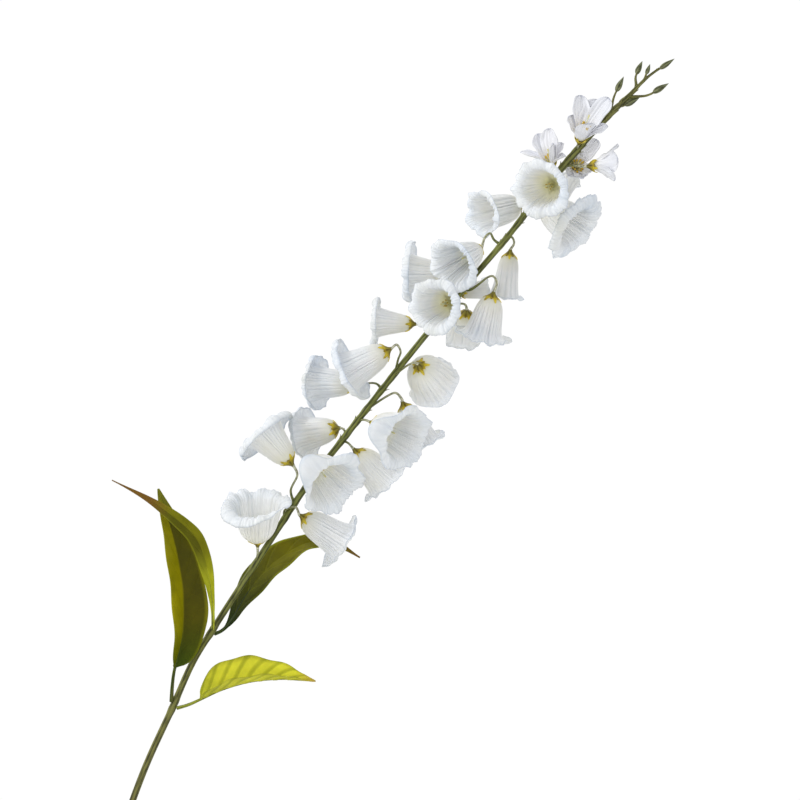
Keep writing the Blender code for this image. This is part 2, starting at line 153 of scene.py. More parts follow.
@dataclass(frozen=True)
class PetalTissue(Finish):
    """White bellflower petal: thin, matt and a little translucent, with fine ribs from neck to lip.

    The eye sees a cool white that turns cream and then pale green at the neck, golden veins that fan out of
    the calyx, and blue-grey painted shade in the grooves. U of the UV map runs round the petal, V from neck to
    lip;
    the attribute "crease" is 1 at the bottom of a groove.

    Attributes:
        throat, near_throat, body, lip, edge: Colours from the neck to the lip's edge. The lip's grey-blue is
            partly
        the petal's cool tone and partly painted shade, and the darker edge is painted shade.
        groove: Colour of the painted shade at the bottom of a groove.
        cool, warm: Tints of the broad clouds.
        gold: Colour of the veins at the neck.
        ribs: Number of fine ribs round the petal.
        throat_ends: Share of the length at which the throat's colours end.
        veins: Number of golden veins.
        vein_share: Strength of the veins at the neck.
        veins_end: Share of the throat at which they are gone.
        groove_shade_share: Strength of the painted shade in the grooves.
        glow: Weight of the light that passes through the tissue.
        clouds: Clouds to a metre, each about 42 mm wide.
        crepe: Wrinkles of the skin to a metre, about 2 mm each; the real ones are too fine to show.
    """

    throat: str = "#e3dea0"
    near_throat: str = "#f2f0df"
    body: str = "#f8f9f8"
    # Lip and edge: greyer than the body, partly its cool tone and partly painted shade; the edge is painted
    # shade.
    lip: str = "#e9edf4"
    edge: str = "#cbd3df"
    # Painted shade in the grooves
    groove: str = "#a9b2bd"
    cool: str = "#e2e8f1"
    warm: str = "#f6f2e2"
    gold: str = "#a8901c"
    ribs: int = 64
    throat_ends: float = 0.25
    veins: int = 21
    vein_share: float = 0.8
    veins_end: float = 0.4
    groove_shade_share: float = 0.3
    glow: float = 0.75
    clouds: float = 24.0
    crepe: float = 520.0

    def paint(self, tree: bpy.types.NodeTree) -> dict:
        """Colour from neck to lip, cool and warm clouds, golden veins, painted shade in the grooves, and ribs
        as bump.

        Args:
            tree: The material's node tree.

        Returns:
            The shader's inputs by name: a value, or the output that is linked there.
        """
        place = node(tree, "UVMap", uv_map="surface").outputs[0]
        apart = node(tree, "SeparateXYZ", {0: place})
        around = node(tree, "Math", {0: apart.outputs[0], 1: TAU}, operation="MULTIPLY")
        # Painted shade: the lip is greyer than the body, partly its own cool tone, and the edge darker still.
        along = node(tree, "ValToRGB", {0: apart.outputs[1]}, stops=(
            (0.0, self.throat), (0.45 * self.throat_ends, self.near_throat), (self.throat_ends, self.body),
            (0.7, self.lip), (0.94, self.lip), (1.0, self.edge)))
        where = node(tree, "TexCoord").outputs["Object"]
        cloud = node(tree, "TexNoise", {"Vector": where, "Scale": self.clouds, "Detail": 3.0})
        tone = node(tree, "ValToRGB", {0: cloud.outputs[0]}, stops=(
            (0.3, self.cool), (0.5, "#ffffff"), (0.7, self.warm)))
        toned = node(tree, "Mix", {"Factor": 0.8, 6: along.outputs[0], 7: tone.outputs[0]},
                     data_type="RGBA", blend_type="MULTIPLY")
        bend = node(tree, "Math", {0: around.outputs[0], 1: 5.0}, operation="MULTIPLY")
        bent = node(tree, "Math", {0: bend.outputs[0]}, operation="SINE")
        fan = node(tree, "Math", {0: around.outputs[0], 1: float(self.veins), 2: bent.outputs[0]},
                   operation="MULTIPLY_ADD")
        vein = node(tree, "Math", {0: fan.outputs[0]}, operation="COSINE")
        line = node(tree, "MapRange", {"Value": vein.outputs[0], "From Min": -0.6, "From Max": 1.0})
        fades = node(tree, "MapRange", {"Value": apart.outputs[1], "From Min": 0.03,
                                        "From Max": self.veins_end * self.throat_ends,
                                        "To Min": self.vein_share, "To Max": 0.0},
                     interpolation_type="SMOOTHSTEP")
        shown = node(tree, "Math", {0: line.outputs[0], 1: fades.outputs[0]}, operation="MULTIPLY")
        veined = node(tree, "Mix", {"Factor": shown.outputs[0], 6: toned.outputs[2], 7: linear(self.gold)},
                      data_type="RGBA")
        # Painted shade: the groove colour darkens the petal where the crease attribute marks a groove's bottom.
        crease = node(tree, "Attribute", attribute_name="crease")
        deep = node(tree, "Math", {0: crease.outputs["Fac"], 1: self.groove_shade_share}, operation="MULTIPLY")
        colour = node(tree, "Mix", {"Factor": deep.outputs[0], 6: veined.outputs[2],
                                    7: linear(self.groove)}, data_type="RGBA")
        fine = node(tree, "Math", {0: around.outputs[0], 1: float(self.ribs)}, operation="MULTIPLY")
        rib = node(tree, "Math", {0: fine.outputs[0]}, operation="SINE")
        crepe = node(tree, "TexNoise", {"Vector": where, "Scale": self.crepe, "Detail": 2.0})
        height = node(tree, "Math", {0: crepe.outputs[0], 1: 1.2, 2: rib.outputs[0]},
                      operation="MULTIPLY_ADD")
        bump = node(tree, "Bump", {"Height": height.outputs[0], "Strength": 0.6, "Distance": 0.00022})
        return {"Base Color": colour.outputs[2], "Normal": bump.outputs[0], "Roughness": 0.55,
                "Specular IOR Level": 0.3, "Subsurface Weight": self.glow,
                "Subsurface Radius": (1.0, 1.0, 0.96), "Subsurface Scale": 0.002, "Sheen Weight": 0.1}


@dataclass(frozen=True)
class GreenTissue(Finish):
    """Living green plant skin: half matt, with streaks that run along its growth, and painted stripes on its
    ribs:
    lighter crests as painted highlight and darker furrows as painted shade.

    V of the UV map runs along the growth and U round it, so that streaks stay on a bent stalk.

    Attributes:
        along: Colours along the growth, by V.
        shade: Tint of the streaks and of the painted shade between the ribs, which darkens those colours.
        ribs: Number of painted ribs round the growth, each with a lighter crest as painted highlight and darker
        sides as painted shade.
        streaks, length: How often the streaks change round the growth, and along it.
        roughness: Roughness of the skin.
        grain: Grains of the skin to a metre, about 0.7 mm each; the real cells are too fine to show.
    """

    along: tuple[tuple[float, str], ...] = ((0.0, "#6f7a40"), (1.0, "#7c8748"))
    shade: str = "#77776a"
    ribs: int = 5
    streaks: float = 9.0
    length: float = 14.0
    roughness: float = 0.5
    grain: float = 1400.0

    def paint(self, tree: bpy.types.NodeTree) -> dict:
        """Colours along the growth under darker streaks, painted highlight and shade of the ribs, and a fine
        grain as bump.

        Args:
            tree: The material's node tree.

        Returns:
            The shader's inputs by name: a value, or the output that is linked there.
        """
        place = node(tree, "UVMap", uv_map="surface").outputs[0]
        apart = node(tree, "SeparateXYZ", {0: place})
        colours = node(tree, "ValToRGB", {0: apart.outputs[1]}, stops=self.along)
        drawn = node(tree, "Mapping", {"Vector": place,
                                       "Scale": (self.streaks, self.length, 1.0)})
        streak = node(tree, "TexNoise", {"Vector": drawn.outputs[0], "Scale": 1.0, "Detail": 4.0})
        # Painted highlight and shade: the rib wave lightens each crest and darkens the furrows between.
        around = node(tree, "Math", {0: apart.outputs[0], 1: TAU * self.ribs}, operation="MULTIPLY")
        rib = node(tree, "Math", {0: around.outputs[0]}, operation="COSINE")
        both = node(tree, "Math", {0: rib.outputs[0], 1: 0.09, 2: streak.outputs[0]},
                    operation="MULTIPLY_ADD")
        streak_and_rib_shade = node(tree, "ValToRGB", {0: both.outputs[0]}, stops=((0.36, self.shade), (0.6, "#ffffff")))
        colour = node(tree, "Mix", {"Factor": 1.0, 6: colours.outputs[0], 7: streak_and_rib_shade.outputs[0]},
                      data_type="RGBA", blend_type="MULTIPLY")
        where = node(tree, "TexCoord").outputs["Object"]
        grain = node(tree, "TexNoise", {"Vector": where, "Scale": self.grain, "Detail": 2.0})
        bump = node(tree, "Bump", {"Height": grain.outputs[0], "Strength": 0.35, "Distance": 0.0001})
        return {"Base Color": colour.outputs[2], "Normal": bump.outputs[0], "Roughness": self.roughness,
                "Specular IOR Level": 0.3}


@dataclass(frozen=True)
class LeafBlade(Finish):
    """Leaf skin: two halves of different green, the lighter with painted light and the darker with painted
    shade, side veins, a browned tip, and a soft waxy shine.

    U runs from one margin, 0, over the midrib, 0.5, to the other, 1; V from stalk to tip.

    Attributes:
        left, right: Colours of the two halves; the lighter is a painted lit side, the darker a painted shaded
            side.
        base, tip, rim: Colours that they turn to at the stalk, at the tip and at the margin.
        vein: Colour of the midrib and the side veins.
        stalk: Colour of the stalk.
        pairs: Number of pairs of side veins.
        vein_share: Strength of the veins' colour.
        vein_starts: How sharp a side vein is: from -1, a broad band, to 1, a hair.
        base_ends, tip_starts: Share of the length at which the base's colour ends and the tip's starts.
        patches: Mottled patches to a metre, each about 17 mm wide.
        grain: Grains of the skin to a metre, about 1.4 mm each; the real cells are too fine to show.
    """

    left: str = "#7d7d06"
    right: str = "#585703"
    base: str = "#2f4708"
    vein: str = "#8c8c12"
    tip: str = "#6e701a"
    rim: str = "#8a8a14"
    stalk: str = "#6f7030"
    pairs: float = 9.0
    vein_share: float = 0.15
    vein_starts: float = 0.86
    base_ends: float = 0.25
    tip_starts: float = 0.86
    patches: float = 60.0
    grain: float = 700.0

    def paint(self, tree: bpy.types.NodeTree) -> dict:
        """Halves with painted light and shade, margins, base and tip by place, slanting veins, mottling and a
        veined bump.

        Args:
            tree: The material's node tree.

        Returns:
            The shader's inputs by name: a value, or the output that is linked there.
        """
        place = node(tree, "UVMap", uv_map="surface").outputs[0]
        apart = node(tree, "SeparateXYZ", {0: place})
        where = node(tree, "TexCoord").outputs["Object"]
        cloud = node(tree, "TexNoise", {"Vector": where, "Scale": self.patches, "Detail": 5.0})
        # Painted light and shade: one half of the blade is coloured as lit, the other as shaded.
        side = node(tree, "MapRange", {"Value": apart.outputs[0], "From Min": 0.47, "From Max": 0.53})
        halves = node(tree, "Mix", {"Factor": side.outputs[0], 6: linear(self.left), 7: linear(self.right)},
                      data_type="RGBA")
        off = node(tree, "Math", {0: apart.outputs[0], 1: 0.5}, operation="SUBTRACT")
        out = node(tree, "Math", {0: off.outputs[0]}, operation="ABSOLUTE")
        edge = node(tree, "MapRange", {"Value": out.outputs[0], "From Min": 0.41, "From Max": 0.49,
                                       "To Max": 0.7})
        rimmed = node(tree, "Mix", {"Factor": edge.outputs[0], 6: halves.outputs[2], 7: linear(self.rim)},
                      data_type="RGBA")
        rise = node(tree, "MapRange", {"Value": apart.outputs[1], "From Min": 0.1,
                                       "From Max": self.base_ends + 0.1, "To Min": 1.0, "To Max": 0.0})
        based = node(tree, "Mix", {"Factor": rise.outputs[0], 6: rimmed.outputs[2], 7: linear(self.base)},
                     data_type="RGBA")
        slant = node(tree, "Math", {0: out.outputs[0], 1: -0.32, 2: apart.outputs[1]},
                     operation="MULTIPLY_ADD")
        turns = node(tree, "Math", {0: slant.outputs[0], 1: TAU * self.pairs}, operation="MULTIPLY")
        wave = node(tree, "Math", {0: turns.outputs[0]}, operation="COSINE")
        side_vein = node(tree, "MapRange", {"Value": wave.outputs[0], "From Min": self.vein_starts,
                                            "From Max": 1.0})
        middle = node(tree, "MapRange", {"Value": out.outputs[0], "From Min": 0.012, "From Max": 0.03,
                                         "To Min": 1.0, "To Max": 0.0})
        veins = node(tree, "Math", {0: side_vein.outputs[0], 1: middle.outputs[0]}, operation="MAXIMUM")
        shown = node(tree, "Math", {0: veins.outputs[0], 1: self.vein_share}, operation="MULTIPLY")
        veined = node(tree, "Mix", {"Factor": shown.outputs[0], 6: based.outputs[2], 7: linear(self.vein)},
                      data_type="RGBA")
        mottle = node(tree, "ValToRGB", {0: cloud.outputs[0]}, stops=((0.3, "#c9ccb4"), (0.7, "#ffffff")))
        clouded = node(tree, "Mix", {"Factor": 0.8, 6: veined.outputs[2], 7: mottle.outputs[0]},
                       data_type="RGBA", blend_type="MULTIPLY")
        end = node(tree, "MapRange", {"Value": apart.outputs[1], "From Min": self.tip_starts,
                                      "From Max": self.tip_starts + 0.12})
        colour = node(tree, "Mix", {"Factor": end.outputs[0], 6: clouded.outputs[2], 7: linear(self.tip)},
                      data_type="RGBA")
        grain = node(tree, "TexNoise", {"Vector": where, "Scale": self.grain, "Detail": 3.0})
        height = node(tree, "Math", {0: veins.outputs[0], 1: -1.5, 2: grain.outputs[0]},
                      operation="MULTIPLY_ADD")
        bump = node(tree, "Bump", {"Height": height.outputs[0], "Strength": 0.5, "Distance": 0.0002})
        return {"Base Color": colour.outputs[2], "Normal": bump.outputs[0], "Roughness": 0.5,
                "Specular IOR Level": 0.1, "Subsurface Weight": 0.1,
                "Subsurface Radius": (0.7, 1.0, 0.2), "Subsurface Scale": 0.001}


@dataclass(frozen=True)
class StonewareGlaze(Finish):
    """Oatmeal stoneware glaze: satin, with iron specks about a millimetre across and a bare clay foot.

    Attributes:
        glaze, glaze_pool: Colours of the glaze where it is thin and where it is thick.
        speck, clay: Colours of the iron specks and of the bare clay.
        foot_band: Height in metres below which the clay is bare.
        pools: Pools of thick glaze to a metre, each about 45 mm wide.
        cells: Cells to a metre, each about 4 mm wide, with one speck at most in each.
        swarms: Patches of cells with specks to a metre, each about 10 mm wide.
        dimples: Dimples of the glaze to a metre, each about 6 mm wide.
    """

    glaze: str = "#e4ded1"
    glaze_pool: str = "#d3cab8"
    speck: str = "#7a6248"
    clay: str = "#b79c7f"
    foot_band: float = 0.007
    pools: float = 22.0
    cells: float = 260.0
    swarms: float = 95.0
    dimples: float = 160.0

    def paint(self, tree: bpy.types.NodeTree) -> dict:
        """Pooled glaze over specks, rough clay below the foot line, and a slightly uneven skin.

        Args:
            tree: The material's node tree.

        Returns:
            The shader's inputs by name: a value, or the output that is linked there.
        """
        where = node(tree, "TexCoord").outputs["Object"]
        pool = node(tree, "TexNoise", {"Vector": where, "Scale": self.pools, "Detail": 4.0})
        glazed = node(tree, "Mix", {"Factor": pool.outputs[0], 6: linear(self.glaze),
                                    7: linear(self.glaze_pool)}, data_type="RGBA")
        cells = node(tree, "TexVoronoi", {"Vector": where, "Scale": self.cells})
        fleck = node(tree, "MapRange", {"Value": cells.outputs["Distance"], "From Min": 0.1,
                                        "From Max": 0.17, "To Min": 0.75, "To Max": 0.0})
        thin = node(tree, "TexNoise", {"Vector": where, "Scale": self.swarms})
        kept = node(tree, "MapRange", {"Value": thin.outputs[0], "From Min": 0.5, "From Max": 0.58})
        seen = node(tree, "Math", {0: fleck.outputs[0], 1: kept.outputs[0]}, operation="MULTIPLY")
        flecked = node(tree, "Mix", {"Factor": seen.outputs[0], 6: glazed.outputs[2],
                                     7: linear(self.speck)}, data_type="RGBA")
        apart = node(tree, "SeparateXYZ", {0: where})
        wander = node(tree, "Math", {0: pool.outputs[0], 1: 0.003, 2: apart.outputs[2]},
                      operation="MULTIPLY_ADD")
        foot = node(tree, "MapRange", {"Value": wander.outputs[0], "From Min": self.foot_band,
                                       "From Max": self.foot_band + 0.0006})
        colour = node(tree, "Mix", {"Factor": foot.outputs[0], 6: linear(self.clay),
                                    7: flecked.outputs[2]}, data_type="RGBA")
        rough = node(tree, "MapRange", {"Value": foot.outputs[0], "To Min": 0.85, "To Max": 0.36})
        skin = node(tree, "TexNoise", {"Vector": where, "Scale": self.dimples, "Detail": 4.0})
        bump = node(tree, "Bump", {"Height": skin.outputs[0], "Strength": 0.25, "Distance": 0.0003})
        return {"Base Color": colour.outputs[2], "Roughness": rough.outputs[0],
                "Normal": bump.outputs[0]}


@dataclass(frozen=True)
class StillWater(Finish):
    """Clear water, a little green from the stem, with a still surface.

    Attributes:
        tint: Its colour.
        swells: Swells of the surface to a metre, each about 33 mm long.
    """

    tint: str = "#eaf2ec"
    swells: float = 30.0

    def paint(self, tree: bpy.types.NodeTree) -> dict:
        """A clear body with the refraction of water and the faintest ripple.

        Args:
            tree: The material's node tree.

        Returns:
            The shader's inputs by name: a value, or the output that is linked there.
        """
        where = node(tree, "TexCoord").outputs["Object"]
        swell = node(tree, "TexNoise", {"Vector": where, "Scale": self.swells})
        bump = node(tree, "Bump", {"Height": swell.outputs[0], "Strength": 0.1, "Distance": 0.0003})
        return {"Normal": bump.outputs[0], "Base Color": linear(self.tint), "Roughness": 0.02,
                "IOR": 1.333, "Transmission Weight": 1.0}


@dataclass(frozen=True)
class Paper(Finish):
    """The pale sweep that everything stands on; it fades out at its edge.

    Attributes:
        colour: Its colour.
        solid_to, gone_at: Distance from the vase, in metres, at which it starts to fade and is gone.
    """

    colour: str = "#e9e9e6"
    solid_to: float = 0.55
    gone_at: float = 1.3

    def paint(self, tree: bpy.types.NodeTree) -> dict:
        """One pale colour whose alpha falls with the distance from the vase.

        Args:
            tree: The material's node tree.

        Returns:
            The shader's inputs by name: a value, or the output that is linked there.
        """
        where = node(tree, "TexCoord").outputs["Object"]
        away = node(tree, "VectorMath", {0: where}, operation="LENGTH")
        fade = node(tree, "MapRange", {"Value": away.outputs["Value"], "From Min": self.solid_to,
                                       "From Max": self.gone_at, "To Min": 1.0, "To Max": 0.0},
                    interpolation_type="SMOOTHSTEP")
        return {"Alpha": fade.outputs[0], "Base Color": linear(self.colour), "Roughness": 0.9}


PETAL = PetalTissue("white_bellflower_petal", Slot.PETAL)
# Inside the bell the throat is lighter and yellower than outside: partly its own yellow, partly painted light
# against the shade deep in the throat. The lip, edge and grooves inside carry painted shade as outside, the
# grooves more strongly.
PETAL_INSIDE = PetalTissue(
    "cream_petal_inside", Slot.PETAL, throat="#fbf5a0", near_throat="#faf8dc", body="#f5f6f6", lip="#e2e7ee",
    edge="#c8d0dc", throat_ends=0.3, vein_share=0.0, groove_shade_share=0.4)
BLOOM_PETAL = PetalTissue(
    "white_young_petal", Slot.PETAL, throat="#b9ac4a", near_throat="#efeedc", body="#f3f3f6", lip="#f0f1f6",
    edge="#d8dbe8", cool="#dfe3ec", warm="#f4f3f4", ribs=6, throat_ends=0.22, veins=7, glow=0.0)
STEM_SKIN = GreenTissue(
    "olive_stem_skin", Slot.STEM, length=60.0, shade="#76776a",
    along=((0.0, "#756f3a"), (0.3, "#75743a"), (0.5, "#7a803c"), (0.85, "#7d823f"), (1.0, "#7b7940")))
STALK_SKIN = GreenTissue(
    "pale_stalk_skin", Slot.STEM,
    along=((0.0, "#6b7238"), (0.35, "#8a8f55"), (0.75, "#cfcfb0"), (1.0, "#e0dfc8")))
SEPAL_SKIN = GreenTissue(
    "golden_sepal_skin", Slot.STEM, streaks=16.0, length=3.0, shade="#a59c78",
    along=((0.0, "#7d7a3c"), (0.34, "#8f8226"), (0.55, "#c3ac24"), (1.0, "#e3cf48")))
BUD_SKIN = GreenTissue(
    "grey_bud_skin", Slot.STEM, length=3.0, along=((0.0, "#8a8c66"), (0.5, "#6e744c"), (1.0, "#8a9070")))
BRACT_SKIN = GreenTissue(
    "olive_bract_skin", Slot.STEM, length=3.0, along=((0.0, "#66682f"), (1.0, "#8a874a")))
POLLEN = GreenTissue(
    "yellow_pollen", Slot.STEM, roughness=0.8, length=3.0, shade="#dcd0a8",
    along=((0.0, "#f0eecc"), (0.6, "#f2eab0"), (0.78, "#e6cc58"), (1.0, "#c8a034")))
STYLE_SKIN = GreenTissue(
    "pale_style_skin", Slot.STEM, length=3.0, shade="#d8d8c0",
    along=((0.0, "#e4e6b0"), (0.8, "#eef0cc"), (1.0, "#e0d070")))
GLAZE = StonewareGlaze("oatmeal_stoneware_glaze", Slot.STONEWARE)
WATER = StillWater("still_water", Slot.WATER)


# Surfaces


def smoothstep(low: float, high: float, value: np.ndarray) -> np.ndarray:
    """Zero under low, one over high, and 3x^2 - 2x^3 between them, x being the share of the way."""
    x = np.clip((value - low) / (high - low), 0.0, 1.0)
    return x * x * (3 - 2 * x)


def evenly(curve: np.ndarray, count: int) -> np.ndarray:
    """Reads a polyline at points that are the same length apart.

    Args:
        curve: Points, one a row.
        count: How many points to read.

    Returns:
        Points, one a row.
    """
    length = np.concatenate([[0.0], np.cumsum(np.linalg.norm(np.diff(curve, axis=0), axis=1))])
    wanted = np.linspace(0.0, length[-1], count)
    return np.stack([np.interp(wanted, length, column) for column in curve.T], axis=1)


def smooth_route(knots: ArrayLike, count: int) -> np.ndarray:
    """Reads the Catmull-Rom curve through some knots, the same length apart.

    Between knots b and c, with a before and d after them, a point is half of
    2b + (c - a)t + (2a - 5b + 4c - d)t^2 + (3b - a - 3c + d)t^3.

    Args:
        knots: Points in 2 or 3 dimensions.
        count: How many points to read.

    Returns:
        Points, one a row, ends included.
    """
    p = np.asarray(knots, float)
    p = np.vstack([2 * p[0] - p[1], p, 2 * p[-1] - p[-2]])
    t = np.linspace(0, 1, 16, endpoint=False)[None, :, None]
    a, b, c, d = (p[k:len(p) - 3 + k, None] for k in range(4))
    curve = 0.5 * (2 * b + (c - a) * t + (2 * a - 5 * b + 4 * c - d) * t ** 2
                   + (3 * b - a - 3 * c + d) * t ** 3)
    return evenly(np.vstack([curve.reshape(-1, p.shape[1]), p[-2]]), count)


def unit(vectors: np.ndarray) -> np.ndarray:
    """Vectors, one a row, each made one long."""
    return vectors / np.maximum(np.linalg.norm(vectors, axis=-1, keepdims=True), 1e-9)


def cubic(a: np.ndarray, b: np.ndarray, c: np.ndarray, d: np.ndarray, count: int) -> np.ndarray:
    """Reads the cubic curve from a to d that leaves a towards b and reaches d from c.

    Args:
        a: Its start.
        b: Where it heads first.
        c: Where it comes from last.
        d: Its end.
        count: How many points to read.

    Returns:
        Points, one a row.
    """
    t = np.linspace(0, 1, count)[:, None]
    return a * (1 - t) ** 3 + b * 3 * t * (1 - t) ** 2 + c * 3 * t * t * (1 - t) + d * t ** 3


def stalk_line(start: np.ndarray, growth: np.ndarray, end: np.ndarray, axis: np.ndarray, sunk: float,
               count: int) -> np.ndarray:
    """The cubic curve that leaves the stem half along its growth and reaches what it carries along its axis.

    Both handles are 0.45 of the straight way long, and the last one is 3 mm at least.

    Args:
        start: Where it leaves the stem.
        growth: Direction of the stem there.
        end: Where it meets what it carries.
        axis: Direction in which that grows.
        sunk: How far the curve runs on past the end, along the axis.
        count: How many points to read.

    Returns:
        Points, one a row.
    """
    reach = np.linalg.norm(end - start)
    out = unit(unit(end - start) + growth * 0.7)
    back = end - axis * max(0.45 * reach, 3.0)
    return cubic(start, start + out * 0.45 * reach, back, end + axis * sunk, count)


@dataclass(frozen=True)
class Surface:
    """A mesh of four-cornered faces.

    Attributes:
        points: Its points in millimetres, one a row.
        faces: The numbers of each face's four points.
        uv: A UV for each corner of each face.
        crease: How deep in a groove each point lies, from 0 to 1.
    """

    points: np.ndarray
    faces: np.ndarray
    uv: np.ndarray
    crease: np.ndarray

    @staticmethod
    def of_grid(grid: np.ndarray, closed: bool = False, crease: np.ndarray | None = None) -> "Surface":
        """Faces between the rows and columns of a grid; U runs over the columns and V over the rows.

        Args:
            grid: Points as rows by columns by 3.
            closed: True if the last column joins the first.
            crease: How deep in a groove each point lies, as rows by columns.

        Returns:
            The surface.
        """
        rows, columns = grid.shape[:2]
        across = columns if closed else columns - 1
        i, j = np.meshgrid(np.arange(rows - 1), np.arange(across), indexing="ij")
        after = (j + 1) % columns
        low, high = i * columns, (i + 1) * columns
        faces = np.stack([low + j, low + after, high + after, high + j], -1)
        u = np.stack([j, j + 1, j + 1, j], -1) / across
        v = np.stack([i, i, i + 1, i + 1], -1) / (rows - 1)
        uv = np.stack([u, v], -1).reshape(-1, 2)
        depth = np.zeros((rows, columns)) if crease is None else crease
        return Surface(grid.reshape(-1, 3), faces.reshape(-1, 4), uv, depth.ravel())

    @staticmethod
    def joined(parts: list["Surface"]) -> "Surface":
        """Several surfaces as one.

        Args:
            parts: The surfaces.

        Returns:
            One surface, with the parts' faces in their order.
        """
        offsets = np.cumsum([0] + [len(part.points) for part in parts[:-1]])
        return Surface(np.concatenate([part.points for part in parts]),
                       np.concatenate([part.faces + offset for part, offset in zip(parts, offsets)]),
                       np.concatenate([part.uv for part in parts]),
                       np.concatenate([part.crease for part in parts]))

    def placed(self, matrix: np.ndarray) -> "Surface":
        """The surface turned and moved by a 4 by 4 matrix in millimetres."""
        return Surface(self.points @ matrix[:3, :3].T + matrix[:3, 3], self.faces, self.uv, self.crease)

    def piece(self, name: str, finish: Finish, stands_for: tuple[str, ...] = (), wall: float = 0.0,
              inside: Finish | None = None) -> bpy.types.Object:
        """Makes the surface an object of the part.

        Corners that fall together are merged, which closes poles, and a closed body's normals are turned
        outwards.

        Args:
            name: The piece's name.
            finish: Its finish.
            stands_for: CAD nodes that it replaces.
            wall: Thickness in millimetres that an open sheet gets, or 0 for a closed body.
            inside: The finish of the sheet's inner side, where it has its own.

        Returns:
            The object, which rides on the root body.
        """
        mesh = bpy.data.meshes.new(name)
        mesh.vertices.add(len(self.points))
        mesh.vertices.foreach_set("co", (self.points * MM).astype(np.float32).ravel())
        mesh.loops.add(self.faces.size)
        mesh.loops.foreach_set("vertex_index", self.faces.astype(np.int32).ravel())
        mesh.polygons.add(len(self.faces))
        mesh.polygons.foreach_set("loop_start", np.arange(0, self.faces.size, 4, dtype=np.int32))
        mesh.update(calc_edges=True)
        mesh.uv_layers.new(name="surface").data.foreach_set("uv", self.uv.astype(np.float32).ravel())
        if self.crease.any():
            depth = mesh.attributes.new("crease", "FLOAT", "POINT")
            depth.data.foreach_set("value", self.crease.astype(np.float32))
        shape = bmesh.new()
        shape.from_mesh(mesh)
        bmesh.ops.remove_doubles(shape, verts=shape.verts, dist=MERGED_WITHIN)
        if not wall:
            bmesh.ops.recalc_face_normals(shape, faces=shape.faces)
        shape.to_mesh(mesh)
        shape.free()
        mesh.shade_smooth()
        mesh.materials.append(finish.material())
        made = bpy.data.objects.new(name, mesh)
        bpy.context.scene.collection.objects.link(made)
        if wall:
            sheet = made.modifiers.new("wall", "SOLIDIFY")
            sheet.thickness = wall * MM
            sheet.offset = 0.0
            if inside:
                mesh.materials.append(inside.material())
                sheet.material_offset = 1
        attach(made, "root")
        if stands_for:
            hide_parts(*stands_for)
        LOG.info("%s: %d points", name, len(mesh.vertices))
        return made


def tube(path: np.ndarray, radii: ArrayLike, sides: int, ridges: int = 0, ridge: float = 0.0) -> Surface:
    """A round tube with closed ends, carried along a path.

    Each ring stands square to the path. Its radius is the path's own there times 1 + ridge cos(ridges a).

    Args:
        path: Points, one a row.
        radii: A radius for each point.
        sides: Points round a ring.
        ridges: How many ridges run along the tube.
        ridge: Their height as a share of the radius.

    Returns:
        The surface; V runs along the path.
    """
    along = unit(np.gradient(path, axis=0))
    flat = np.linalg.svd(path - path.mean(0))[2][-1]
    side = unit(np.cross(along, flat))
    up = np.cross(side, along)
    angle = np.linspace(0, TAU, sides, endpoint=False)
    reach = np.asarray(radii, float)[:, None] * (1 + ridge * np.cos(ridges * angle))[None]
    rings = path[:, None] + reach[..., None] * (np.cos(angle)[None, :, None] * side[:, None]
                                                + np.sin(angle)[None, :, None] * up[:, None])
    ends = [np.repeat(path[k][None, None], sides, axis=1) for k in (0, -1)]
    return Surface.of_grid(np.concatenate([ends[0], rings, ends[1]]), closed=True)


def stood(at: Point, heading: float, toward: float, turn: float) -> np.ndarray:
    """Matrix that stands local +Z along a direction at a point.

    Args:
        at: The point.
        heading: Direction in the X-Z plane, from +X.
        toward: Lean towards the viewer, who is at -Y.
        turn: Turn about the direction.

    Returns:
        The 4 by 4 matrix in millimetres.
    """
    rotation = Vector((0, 0, 1)).rotation_difference(direction(heading, toward)).to_matrix().to_4x4()
    return np.array(Matrix.Translation(at) @ rotation @ Matrix.Rotation(math.radians(turn), 4, "Z"))


def direction(heading: float, toward: float) -> Vector:
    """Unit vector from a heading in the X-Z plane and a lean towards the viewer."""
    h, t = math.radians(heading), math.radians(toward)
    return Vector((math.cos(h) * math.cos(t), -math.sin(t), math.sin(h) * math.cos(t)))


# Stem


